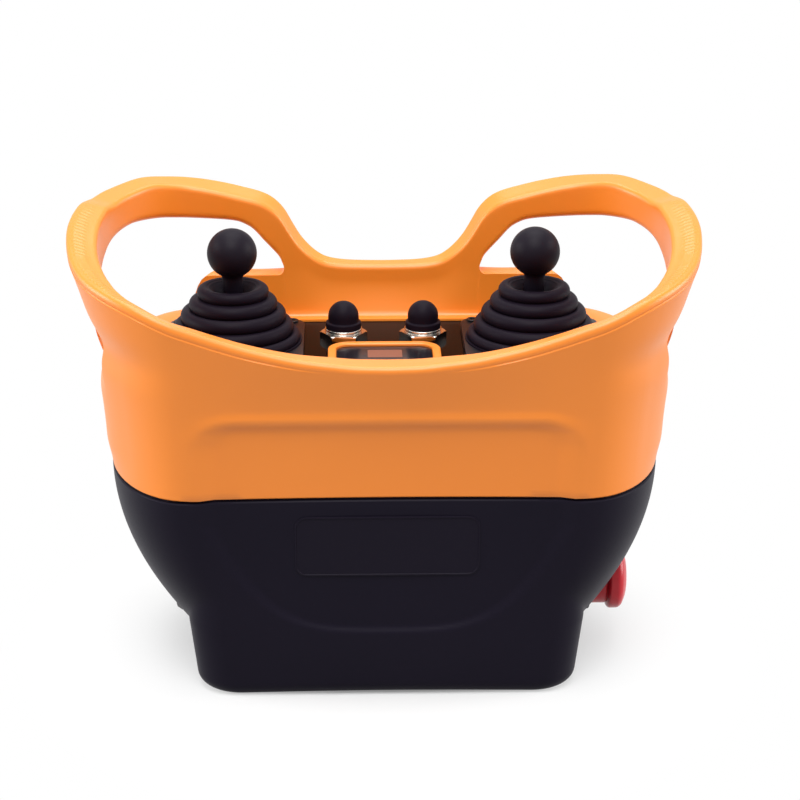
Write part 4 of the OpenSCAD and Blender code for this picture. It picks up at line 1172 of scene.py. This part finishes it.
    def inside_grid(self, s: Stations, foot: Array) -> Array:
        """Inside from the wall under a window down to the shelf, round the lip and back.

        The wall goes down evenly, and inwards with a power of that way, which hollows it.

        Args:
            s: Stations.
            foot: Distance of the outer lower edge.

        Returns:
            Grid of stations x rows x 3.
        """
        f, b = self.form, s.wall_a
        start = self.sill(s)
        start[..., 2] -= self.lean * s.wide
        shelf_r = f.stadium(b, self.shelf_hw, self.shelf_hd, self.shelf_end)
        foot_size = self.cove_foot
        end = around(b, shelf_r + foot_size / 2, self.shelf + foot_size)
        t = row(10)[..., None]
        arc = np.sin(row(5, QUARTER)[:, 1:])
        sizes = (self.opening_hw, self.opening_hd, self.opening_corner)
        opening = f.round_box(b, *sizes)
        lip = f.round_box(b, *(size - self.lip_width for size in sizes))
        hollow = f.stadium(
            b, f.case_hw - self.hollow_side, f.case_hd - self.hollow_front, f.case_end - self.hollow_side
        )
        lines = (
            (opening + 0.4, self.shelf), (opening + 0.1, self.shelf - 0.1), (opening, self.shelf - 0.4),
            (opening, self.lip_top), (lip, self.lip_top), (lip, self.lip_under), (hollow, self.gusset),
            (hollow, self.base),
        )
        return np.concatenate([
            start + (end - start) * np.concatenate([t**self.cove, t**self.cove, t], -1),
            around(b, shelf_r + foot_size / 2 - foot_size * arc, self.shelf + foot_size * (1 - arc)),
            *(around(b, r, level) for r, level in lines),
            around(s.a, foot, self.base),
        ], 1)

    def line_windows(self, skin: Skin, s: Stations) -> None:
        """Add the sill and the upper lining of both windows.

        Both go straight across, and the sill swells by half a sine wave.

        Args:
            skin: Skin that takes them.
            s: Stations.
        """
        first, last = self.window_span
        t = row(10)
        for low, high in ((first, last), (TURN - last, TURN - first)):
            w = s.pick(((s.a >= low - ANGLE_SLACK) & (s.a <= high + ANGLE_SLACK))[:, 0])
            start = around(w.a, self.outer_wall(w, w.floor), w.floor)
            sill = start + (self.sill(w) - start) * t[..., None]
            sill[..., 2] += (self.sill_swell * np.sin(np.pi * t) - self.lean * t) * w.wide
            skin.grid(sill, flip=True)
            soft = self.edge * w.wide
            start = self.outside(w, w.roof, soft)
            skin.grid(start + (self.inside(w, w.roof, soft) - start) * t[..., None])


@dataclass
class LowerCase:
    """Dark lower case: belly, foot, sunk front panel and a round pocket in each flank."""

    form: HousingForm = HousingForm()
    top: float = 90.4
    chamfer: float = 0.5
    wall: float = 3.5
    front_wall: float = 6.8
    floor: float = 5.0
    pocket_radius: float = 19.0
    pocket_face: float = 86.0
    pocket_wall: float = 5.5
    pocket_fade: Span = (50.5, 66.5)
    switch_level: float = 29.0
    screw_x: float = 62.0
    screw_y: float = 44.0
    well_radius: float = 4.1
    seat: Place = (46.3, 27.3, 2.3)
    sharp: float = 34.0

    def build(self) -> None:
        """Build the case as an outer and an inner skin, then sink the pockets and the hatch.

        The outer skin follows case_r down to the foot, whose edge is a quarter circle.
        """
        f = self.form
        a = np.linspace(0, TURN, 480, endpoint=False)[:, None]
        start = self.top - self.chamfer
        z = np.insert(start - np.linspace(0, 1, 90) * (start - f.foot_fillet), 0, self.top)[None, :]
        r = f.relieved(a, f.case_r(a, z), z)
        r[:, 0] -= self.chamfer
        arc = row(10, QUARTER)[:, 1:]
        low_z = f.foot_fillet * (1 - np.sin(arc))
        low_r = f.relieved(a, f.case_r(a, low_z), low_z) - f.foot_fillet * (1 - np.cos(arc))
        base = low_r[:, -1:] * np.linspace(1, 0, 8)[None, 1:]
        outer = [around(a, r, z), around(a, low_r, low_z), around(a, base, 0.0)]
        z = np.linspace(self.floor, self.top, 24)[None, :]
        room = self.pocket_face - self.pocket_wall + f.case_hw * ease(z, *self.pocket_fade)
        limit = room / np.maximum(np.abs(np.sin(np.radians(a))), f.least_ahead)
        inner_r = np.minimum(f.case_r(a, z, self.wall, self.front_wall), limit)
        inner = [
            around(a, inner_r[:, :1] * row(5)[:, :-1], self.floor),
            around(a, inner_r, z),
            around(a, r[:, :1], self.top),
        ]
        skin = Skin().grid(np.concatenate(outer, 1), wrap=True).grid(np.concatenate(inner, 1), wrap=True)
        piece = skin.piece("case_moulding", GRAPHITE_ABS, self.sharp)
        carve(piece, self.tools().piece("case_tools", GRAPHITE_ABS))
        smooth(piece.data, self.sharp)
        stand_in(piece, "housing", "lower_case")

    def tools(self) -> Skin:
        """Shells that cut the flank pockets, the screw wells and the seat of the battery cover.

        Returns:
            The shells in one skin.
        """
        tools = Skin()
        r = self.pocket_radius
        pocket = np.array([(0, 0), (r - 1, 0), (r - 0.3, 0.3), (r, 1), (r, 40), (0, 40)], float)
        for sign, axis in ((1, Axis.RIGHT), (-1, Axis.LEFT)):
            tools.turn(pocket, (sign * self.pocket_face, 0, self.switch_level), axis, 128)
        well = np.array([(0, -2), (self.well_radius, -2), (self.well_radius, 12), (0, 12)], float)
        for x, y in corners_of(self.screw_x, self.screw_y):
            tools.turn(well, (x, y, 0), steps=40)
        seat = [(27.2, -2), (0, -2), (0, 2.5), (27.2, 2.5)]
        return tools.plate(self.seat, seat, (0, 0, 0), 6)


# ---------------------------------------------------------------- controls


class Side(Enum):
    """Left or right of the panel, as the photograph shows it."""

    LEFT = -1
    RIGHT = 1


@dataclass
class Joystick:
    """Ball-topped stick in a folded rubber boot on a square clamp frame."""

    side: Side
    reach: float = 65.0
    back: float = 16.0
    clamp_plan: Place = (30.5, 30.5, 8.0)
    clamp_hole: float = 16.4
    clamp_foot: float = 132.0
    clamp_top: float = 135.0
    screw_reach: float = 25.0
    ball_level: float = 174.0
    ball_radius: float = 10.7
    split: float = 144.4
    split_radius: float = 18.0
    lever_level: float = 152.0
    boot_thick: float = 1.2
    boot_least: float = 3.2
    boot_lower: float = 0.5
    # Each roll of the boot as (radius, height, size, first and last angle of its arc)
    rolls: tuple[tuple[float, ...], ...] = (
        (26.2, 136.7, 2.6, -25, 86), (22.5, 141.1, 3.4, -48, 86), (19.5, 146.5, 3.3, -48, 86),
        (16.0, 151.6, 3.1, -48, 86), (12.7, 156.9, 2.8, -48, 118),
    )
    funnel: Levels = (
        (12.4, 159.66), (11.2, 159.0), (9.8, 157.9), (8.6, 156.4), (7.6, 154.6), (6.2, 152.9), (4.4, 152.2),
    )

    @property
    def centre(self) -> Span:
        """Place of the stick on the panel."""
        return self.side.value * self.reach, self.back

    def named(self, part: str) -> str:
        """A part's name with the side's before it, as the nodes write it."""
        return f"{self.side.name.lower()}_{part}"

    def build(self) -> None:
        """Build the stick's pieces, and set what the knob, the clamp and the screws ride on."""
        self.boot()
        self.knob()
        self.clamp()

    def boot_profile(self) -> Array:
        """Outer line of the boot: stacked round rolls, then the lip and the dished collar.

        Each roll is an arc about its own middle, and meets the next one in a crease.

        Returns:
            Array of points x 2.
        """
        parts = [np.array([(29.6, self.clamp_top), (29.5, 135.7)])]
        for r, z, size, first, last in self.rolls:
            turn = np.radians(np.linspace(first, last, 13))
            parts.append(np.stack([r + size * np.cos(turn), z + size * np.sin(turn)], -1))
        return np.concatenate([*parts, smooth_curve(self.funnel, 3)[1:]])

    def boot(self) -> None:
        """Build the boot in two halves, parted near the split level."""
        profile = self.boot_profile()
        whole = revolve(profile, (*self.centre, 0))
        away = np.where(profile[:, 0] < self.split_radius, np.inf, np.abs(profile[:, 1] - self.split))
        cut = int(np.argmin(away))
        self.boot_half("boot_lower", whole[:, : cut + 1], (self.clamp_top, self.split))
        self.boot_half("boot_upper", whole[:, cut:], (self.split, self.lever_level))

    def boot_half(self, part: str, points: Array, levels: Span) -> None:
        """Build one half of the boot as a thin closed shell.

        The inside lies nearer to the axis by the thickness, and a little lower.

        Args:
            part: Name of the half.
            points: Grid of its outside.
            levels: Levels at its two ends; not used.
        """
        centre = np.array(self.centre)
        inner = points.copy()
        away = inner[..., :2] - centre
        length = np.linalg.norm(away, axis=-1, keepdims=True)
        inner[..., :2] = centre + away * np.maximum(length - self.boot_thick, self.boot_least) / length
        inner[..., 2] = np.maximum(inner[..., 2] - self.boot_lower, self.clamp_top)
        skin = Skin().grid(points, wrap=True).grid(inner, wrap=True, flip=True)
        for end, flip in ((0, True), (-1, False)):
            skin.grid(np.stack([points[:, end], inner[:, end]], 1), wrap=True, flip=flip)
        piece = skin.piece(self.named(f"{part}_rubber"), BOOT_RUBBER, 60.0)
        start, end = ((centre[0] * MM, centre[1] * MM, level * MM) for level in levels)
        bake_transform(piece)
        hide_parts(self.named(part))

    def knob(self) -> None:
        """Build the ball, which is an arc turned about its axis, with the neck on the stem."""
        q = np.linspace(-1.08, QUARTER, 56)
        ball = np.stack([self.ball_radius * np.cos(q), self.ball_level + self.ball_radius * np.sin(q)], -1)
        neck = [(0, 158.0), (4.3, 158.0), (4.35, 158.2), (4.35, 162.6), (4.5, 163.6), (4.75, 164.2)]
        profile = np.concatenate([neck, ball[:-1], [[0, self.ball_level + self.ball_radius]]])
        piece = Skin().turn(profile, (*self.centre, 0)).piece(self.named("knob_ball"), KNOB_NYLON, 50.0)
        stand_in(piece, self.named("lever"), self.named("ball_knob"))

    def clamp(self) -> None:
        """Build the clamp frame with bevelled edges and its four sunk screws."""
        x, y = self.centre
        foot, top = self.clamp_foot, self.clamp_top
        bevel = [(0.0, foot), (0.0, top - 0.8), (0.25, top - 0.25), (0.8, top)]
        rings = plate_rings(self.clamp_plan, bevel, (x, y, 0), 12)
        outline = round_rectangle(*self.clamp_plan, 12)
        turn = np.arctan2(outline[:, 1], outline[:, 0])
        hole = np.stack([x + self.clamp_hole * np.cos(turn), y + self.clamp_hole * np.sin(turn)], -1)
        edges = [np.insert(hole, 2, level, axis=1)[:, None] for level in (top, foot)]
        skin = Skin().grid(np.concatenate([rings, *edges, rings[:, :1]], 1), wrap=True)
        piece = skin.piece(self.named("clamp_plate"), CLAMP_NYLON, 30.0)
        stand_in(piece, "housing", self.named("clamp_frame"))
        head = rounded(
            [(0, 125.4, 0), (1.5, 125.4, 0), (1.5, 135.0, 0), (2.7, 135.0, 0), (2.7, 135.9, 0.4),
             (1.5, 135.9, 0.2), (1.3, 135.2, 0), (0, 135.2, 0)], 5
        )
        screws = Skin()
        for dx, dy in corners_of(self.screw_reach, self.screw_reach):
            screws.turn(head, (x + dx, y + dy, 0), steps=32)
        piece = screws.piece(self.named("clamp_screw_set"), BLACK_STEEL, 35.0)
        stand_in(piece, "housing", self.named("clamp_screws"))


@dataclass
class SealedButton:
    """Push button under a rubber dome, on a plated collar and a hexagon nut."""

    name: str
    x: float
    y: float = 26.0
    panel: float = 132.0
    flats: float = 18.0
    nut_thick: float = 3.4
    nut_chamfer: float = 10.05
    nut_slope: float = 1.2
    nut_face: float = 9.75
    bush_radius: float = 6.1
    bush_top: float = 137.6
    dome_radius: float = 6.7
    dome_inside: float = 5.4
    dome_rise: float = 4.7
    squeezed: float = 0.78

    def build(self) -> None:
        """Build cap, collar and nut."""
        self.cap()
        self.collar()
        self.nut()

    def dome(self, q: Array, radius: float) -> Array:
        """Quarter circle of the dome, outside or inside, at angles from its foot."""
        return np.stack([radius * np.cos(q), self.bush_top + self.dome_rise + radius * np.sin(q)], -1)

    def cap(self) -> None:
        """Build the rubber cap: a rolled foot and a dome, hollow inside."""
        b, outside, inside = self.bush_top, self.dome_radius, self.dome_inside
        q = np.linspace(0, QUARTER, 24)
        foot = rounded(
            [(inside, b, 0), (7.0, b - 0.5, 0.3), (7.75, b - 0.5, 0.5), (7.75, b + 2.2, 0.9),
             (outside, b + 2.5, 0.25), (outside, b + self.dome_rise, 0)], 6
        )
        profile = [foot, self.dome(q, outside)[1:], self.dome(q[::-1], inside), [[inside, b]]]
        skin = Skin().turn(np.concatenate(profile), (self.x, self.y, 0), steps=72)
        piece = skin.piece(f"{self.name}_cap_rubber", BOOT_RUBBER, 50.0)
        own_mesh(piece)
        stand_in(piece, "housing", f"{self.name}_cap")

    def collar(self) -> None:
        """Build the plated collar with its groove."""
        bush, low, top = self.bush_radius, self.panel + self.nut_thick, self.bush_top
        profile = rounded(
            [(bush, low, 0), (8.15, low, 0.2), (8.15, low + 0.45, 0.15), (7.5, low + 0.6, 0.15),
             (7.5, low + 0.7, 0.15), (8.1, low + 0.85, 0.15), (8.1, top - 0.5, 0.35), (7.0, top - 0.5, 0.1),
             (bush, top, 0)], 5
        )
        skin = Skin().turn(closed(profile), (self.x, self.y, 0))
        stand_in(skin.piece(f"{self.name}_collar_plated", NICKEL), "housing", f"{self.name}_collar")

    def nut(self) -> None:
        """Build the hexagon nut: flats whose corners are cut back by a cone above.

        Round the nut, a flat's distance is its least one divided by cos(turn - its middle).
        """
        turn = np.linspace(0, 2 * np.pi, 144, endpoint=False)
        hexagon = self.flats / 2 / np.cos(turn % (np.pi / 3) - np.pi / 6)
        bore = np.full_like(turn, self.bush_radius)
        top = self.nut_thick
        rings = [(bore, 0.0)]
        for z in (0.0, top - 1.2, top - 0.7, top - 0.3):
            rings.append((np.minimum(hexagon, self.nut_chamfer + (top - z) * self.nut_slope), z))
        rings += [(np.minimum(hexagon, self.nut_face), top), (bore, top), (bore, 0.0)]
        plans = [np.stack([self.x + r * np.cos(turn), self.y + r * np.sin(turn)], -1) for r, _ in rings]
        grid = np.stack([np.insert(plan, 2, self.panel + z, axis=1) for plan, (_, z) in zip(plans, rings)], 1)
        piece = Skin().grid(grid, wrap=True).piece(f"{self.name}_nut_plated", NICKEL, 20.0)
        stand_in(piece, "housing", f"{self.name}_nut")


@dataclass
class Display:
    """Small display: an amber frame, a smoked window and a blank cell's face.

    A plan is a half width, a half depth and a corner radius, and so is the cell.
    """

    y: float = -3.0
    plan: Place = (24.25, 18.0, 9.5)
    band: float = 3.6
    play: float = 0.1
    panel: float = 132.0
    frame_thick: float = 2.4
    pane_thick: float = 1.2
    cell: Place = (7.4, 4.9, 0.6)
    cell_place: Span = (0.2, 4.2)
    cell_thick: float = 0.06

    def build(self) -> None:
        """Build frame, window and the cell's face."""
        low, centre = self.panel, (0, self.y, 0)
        top, pane = low + self.frame_thick, low + self.pane_thick
        profile = rounded(
            [(0.0, low, 0), (0.0, top - 0.2, 0.6), (0.9, top, 0.6), (self.band - 0.6, top, 0.5),
             (self.band, top - 0.4, 0.4), (self.band, low, 0)], 5
        )
        frame = Skin().plate(self.plan, closed(profile), centre, 16).piece("display_bezel", AMBER_ABS)
        stand_in(frame, "housing", "display_frame")
        plan = [size - self.band - self.play for size in self.plan]
        sheet = [(plan[1], low), (0, low), (0, pane - 0.2), (0.2, pane), (plan[1], pane)]
        glass = Skin().plate(plan, sheet, centre, 12).piece("display_pane", SMOKED_WINDOW, 30.0)
        stand_in(glass, "housing", "display_window")
        middle, cell = self.cell[1], pane + self.cell_thick
        sheet = [(middle, pane), (0, pane), (0, cell), (middle, cell)]
        centre = (self.cell_place[0], self.y + self.cell_place[1], 0)
        face = Skin().plate(self.cell, sheet, centre, 6).piece("display_cell", CELL_FACE, 30.0)
        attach(face, "housing")


@dataclass
class StopSwitch:
    """Red mushroom head on the right flank, in its dark ring."""

    face: float = 86.0
    level: float = 29.0

    def build(self) -> None:
        """Build the head and the ring."""
        centre = (self.face, 0.0, self.level)
        head = rounded(
            [(0, 5.1, 0), (12.0, 5.1, 0.3), (12.4, 5.5, 0.3), (12.4, 11.6, 0.3), (11.9, 12.1, 0.3),
             (13.6, 12.4, 0.6), (14.7, 13.4, 0.8), (14.7, 17.3, 0.8), (13.6, 18.9, 1.5), (9.0, 20.9, 3.0),
             (0.0, 21.6, 0)], 6
        )
        piece = Skin().turn(head, centre, Axis.RIGHT).piece("stop_mushroom", STOP_ACETAL, 45.0)
        stand_in(piece, "stop_head", "stop_head")
        ring = rounded(
            [(8.0, 0.0, 0), (15.0, 0.0, 0), (15.0, 4.6, 1.0), (13.4, 4.6, 0.4), (12.5, 3.9, 0.3), (12.5, 1.2, 0),
             (5.05, 1.2, 0), (5.05, -10.0, 0), (8.0, -10.0, 0), (8.0, 0, 0)], 5
        )
        piece = Skin().turn(ring, centre, Axis.RIGHT).piece("stop_collar", GRAPHITE_ABS)
        stand_in(piece, "housing", "stop_bush")


@dataclass
class KeySwitch:
    """Key switch on the left flank: a stepped ring round a slotted rotor."""

    face: float = -86.0
    level: float = 29.0

    def build(self) -> None:
        """Build the ring; the rotor stays as the frame has it, with a plated finish."""
        ring = rounded(
            [(8.55, -12.0, 0), (9.7, -12.0, 0), (9.7, 0, 0), (14.0, 0, 0), (14.0, 3.6, 0.6), (12.4, 6.0, 0.8),
             (9.4, 6.0, 0.4), (8.55, 5.6, 0.3), (8.55, -12.0, 0)], 6
        )
        piece = Skin().turn(ring, (self.face, 0, self.level), Axis.LEFT).piece("key_collar", CLAMP_NYLON)
        stand_in(piece, "housing", "key_ring")


@dataclass
class Label:
    """Bare label film on the sunk front panel, curved with the case.

    Its plan is a half width, a half height and a corner radius.
    """

    form: HousingForm = HousingForm()
    plan: Place = (38.4, 13.6, 5.0)
    level: float = 69.5
    thick: float = 0.5
    insets: tuple[float, ...] = (0, 0, 0.15, 0.6, 0.85, 1.6, 4.0, 8.0, 13.5)
    # Heights at those insets as shares of the thickness: a raised edge round a flat middle
    heights: tuple[float, ...] = (-0.3, 0.8, 1, 1, 0.3, 0.25, 0.25, 0.25, 0.25)

    def build(self) -> None:
        """Build the film as rings of its outline, each smaller by an inset, on the case's face."""
        rings = []
        for inset, height in zip(self.insets, self.heights):
            line = round_rectangle(*(size - inset for size in self.plan), 14)
            rings.append(self.laid(line[:, 0], line[:, 1] + self.level, height))
        middle = rings[-1]
        rings.append(self.laid(middle[:, 0], np.full(len(middle), self.level), self.heights[-1]))
        piece = Skin().grid(np.stack(rings, 1), wrap=True, flip=True).piece("label_film", LABEL_FILM)
        stand_in(piece, "housing", "label_plate")

    def laid(self, x: Array, z: Array, height: float) -> Array:
        """Points over the case's front face, at a share of the film's thickness."""
        depth = self.form.face(z) - self.form.recess(x, z) - self.form.bow(x, z)
        return np.stack([x, -depth - height * self.thick, z], -1)


# ---------------------------------------------------------------- studio


@dataclass(frozen=True)
class Paper:
    """White paper under the object.

    Near the object it is a lit surface that keeps the shadow, and further out it fades to
    plain white for what looks at it straight or in a reflection. Light that it throws back
    is that of a greyer sheet, so that the object's sides keep their own tone.
    """

    name: str
    lit: float = 0.78
    thrown: float = 0.36
    fade_from: float = 0.0
    fade_to: float = 0.17

    def material(self) -> bpy.types.Material:
        """Make the paper's material.

        Returns:
            The material.
        """
        made = bpy.data.materials.new(self.name)
        tree = fresh_tree(made)
        looked_at = seen(tree)
        grey, white = ((tone, tone, tone, 1.0) for tone in (self.thrown, self.lit))
        tone = add(
            tree, "ShaderNodeMix", {"Factor": looked_at, COLOUR_A: grey, COLOUR_B: white}, data_type="RGBA"
        )
        sheet = add(tree, "ShaderNodeBsdfDiffuse", {"Color": tone.outputs[COLOUR_OUT]})
        place = add(tree, "ShaderNodeTexCoord").outputs["Object"]
        away = add(tree, "ShaderNodeVectorMath", {0: place}, operation="LENGTH").outputs["Value"]
        fade = add(
            tree, "ShaderNodeMapRange", {"Value": away, "From Min": self.fade_from, "From Max": self.fade_to},
            interpolation_type="SMOOTHSTEP",
        )
        share = add(
            tree, "ShaderNodeMath", {0: fade.outputs["Result"], 1: looked_at}, operation="MULTIPLY"
        )
        glow = add(tree, "ShaderNodeEmission", {"Color": (1, 1, 1, 1), "Strength": 1.0})
        both = add(tree, "ShaderNodeMixShader", {0: share.outputs[0], 1: sheet.outputs[0], 2: glow.outputs[0]})
        add(tree, "ShaderNodeOutputMaterial", {"Surface": both.outputs[0]})
        return made


@dataclass
class Studio:
    """Pale floor, soft lamps and the camera at the photograph's place, in metres."""

    elevation: float = 21.0
    azimuth: float = -1.2
    distance: float = 1.0
    target: Place = (0.0, 0.0, 0.0933)
    focal_px: float = 2300.0
    frame_px: float = 800.0
    sensor: float = 36.0
    shift: Span = (0.0194, 0.0518)
    # Each lamp as (name, place, side of its square, power in watts)
    lamps: tuple[tuple[str, Place, float, float], ...] = (
        ("key_softbox", (-0.1, -0.7, 1.4), 0.9, 20.0),
        ("top_softbox", (0.0, 0.4, 1.6), 1.2, 19.0),
        ("left_softbox", (-1.4, 0.05, 0.5), 0.9, 15.0),
        ("right_softbox", (1.4, 0.05, 0.5), 0.9, 15.0),
    )
    world_light: float = 0.3

    def build(self) -> None:
        """Build floor, world, lamps and camera."""
        bpy.context.scene.view_settings.view_transform = "Standard"
        self.world()
        self.floor()
        for name, place, size, power in self.lamps:
            lamp = bpy.data.lights.new(name, "AREA")
            lamp.size, lamp.energy = size, power
            self.aim(name, lamp, np.array(place), np.array(self.target) - np.array(place))
        self.camera()

    def world(self) -> None:
        """White surroundings for the camera and reflections, and a softer light on the object."""
        world = bpy.data.worlds.new("studio_white")
        tree = fresh_tree(world)
        strength = add(tree, "ShaderNodeMapRange", {"Value": seen(tree), "To Min": self.world_light, "To Max": 1.0})
        light = add(tree, "ShaderNodeBackground", {"Color": (1, 1, 1, 1), "Strength": strength.outputs["Result"]})
        add(tree, "ShaderNodeOutputWorld", {"Surface": light.outputs["Background"]})
        bpy.context.scene.world = world

    def floor(self) -> None:
        """Round floor of white paper, wide enough to fill the view."""
        line = np.concatenate([np.linspace(0, 1200, 25), [2500.0, 6000.0]])
        grid = revolve(np.stack([line, np.zeros_like(line)], -1), (0, 0, -0.2), steps=64)
        Skin().grid(grid, wrap=True, flip=True).piece("studio_floor", Paper("paper_white"))

    def aim(self, name: str, data: bpy.types.ID, place: Array, direction: Array) -> Object:
        """Put a lamp or a camera in the scene, with its X level.

        Args:
            name: Name of the object.
            data: The lamp or camera itself.
            place: Where it stands.
            direction: Where it looks.

        Returns:
            The new object.
        """
        thing = bpy.data.objects.new(name, data)
        thing.location = place
        x, y, z = direction / np.linalg.norm(direction)
        thing.rotation_euler = (math.acos(max(-1.0, min(1.0, -z))), 0.0, math.atan2(-x, y))
        bpy.context.scene.collection.objects.link(thing)
        return thing

    def camera(self) -> None:
        """Place the camera on its arc round the target, as the photograph was fitted."""
        e, a = math.radians(self.elevation), math.radians(self.azimuth)
        back = np.array([math.sin(a) * math.cos(e), -math.cos(a) * math.cos(e), math.sin(e)])
        data = bpy.data.cameras.new("camera")
        data.sensor_width = self.sensor
        data.lens = self.focal_px / self.frame_px * self.sensor
        data.shift_x, data.shift_y = self.shift
        data.clip_end = 20.0
        place = np.array(self.target) + back * self.distance
        bpy.context.scene.camera = self.aim("camera", data, place, -back)


def main() -> None:
    """Load the frame, build every sub-assembly, dress the rest and set the studio."""
    logging.basicConfig(level=logging.INFO, format="%(name)s: %(message)s")
    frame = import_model()
    dress_frame(frame["nodes"])
    parts = {
        "lower case": LowerCase(),
        "crown": Crown(),
        "left stick": Joystick(Side.LEFT),
        "right stick": Joystick(Side.RIGHT),
        "start button": SealedButton("start", -17.4),
        "horn button": SealedButton("horn", 17.4),
        "display": Display(),
        "stop switch": StopSwitch(),
        "key switch": KeySwitch(),
        "label": Label(),
    }
    for name, part in parts.items():
        part.build()
        LOG.info("built %s", name)
    Studio().build()


if __name__ == "__main__":
    main()
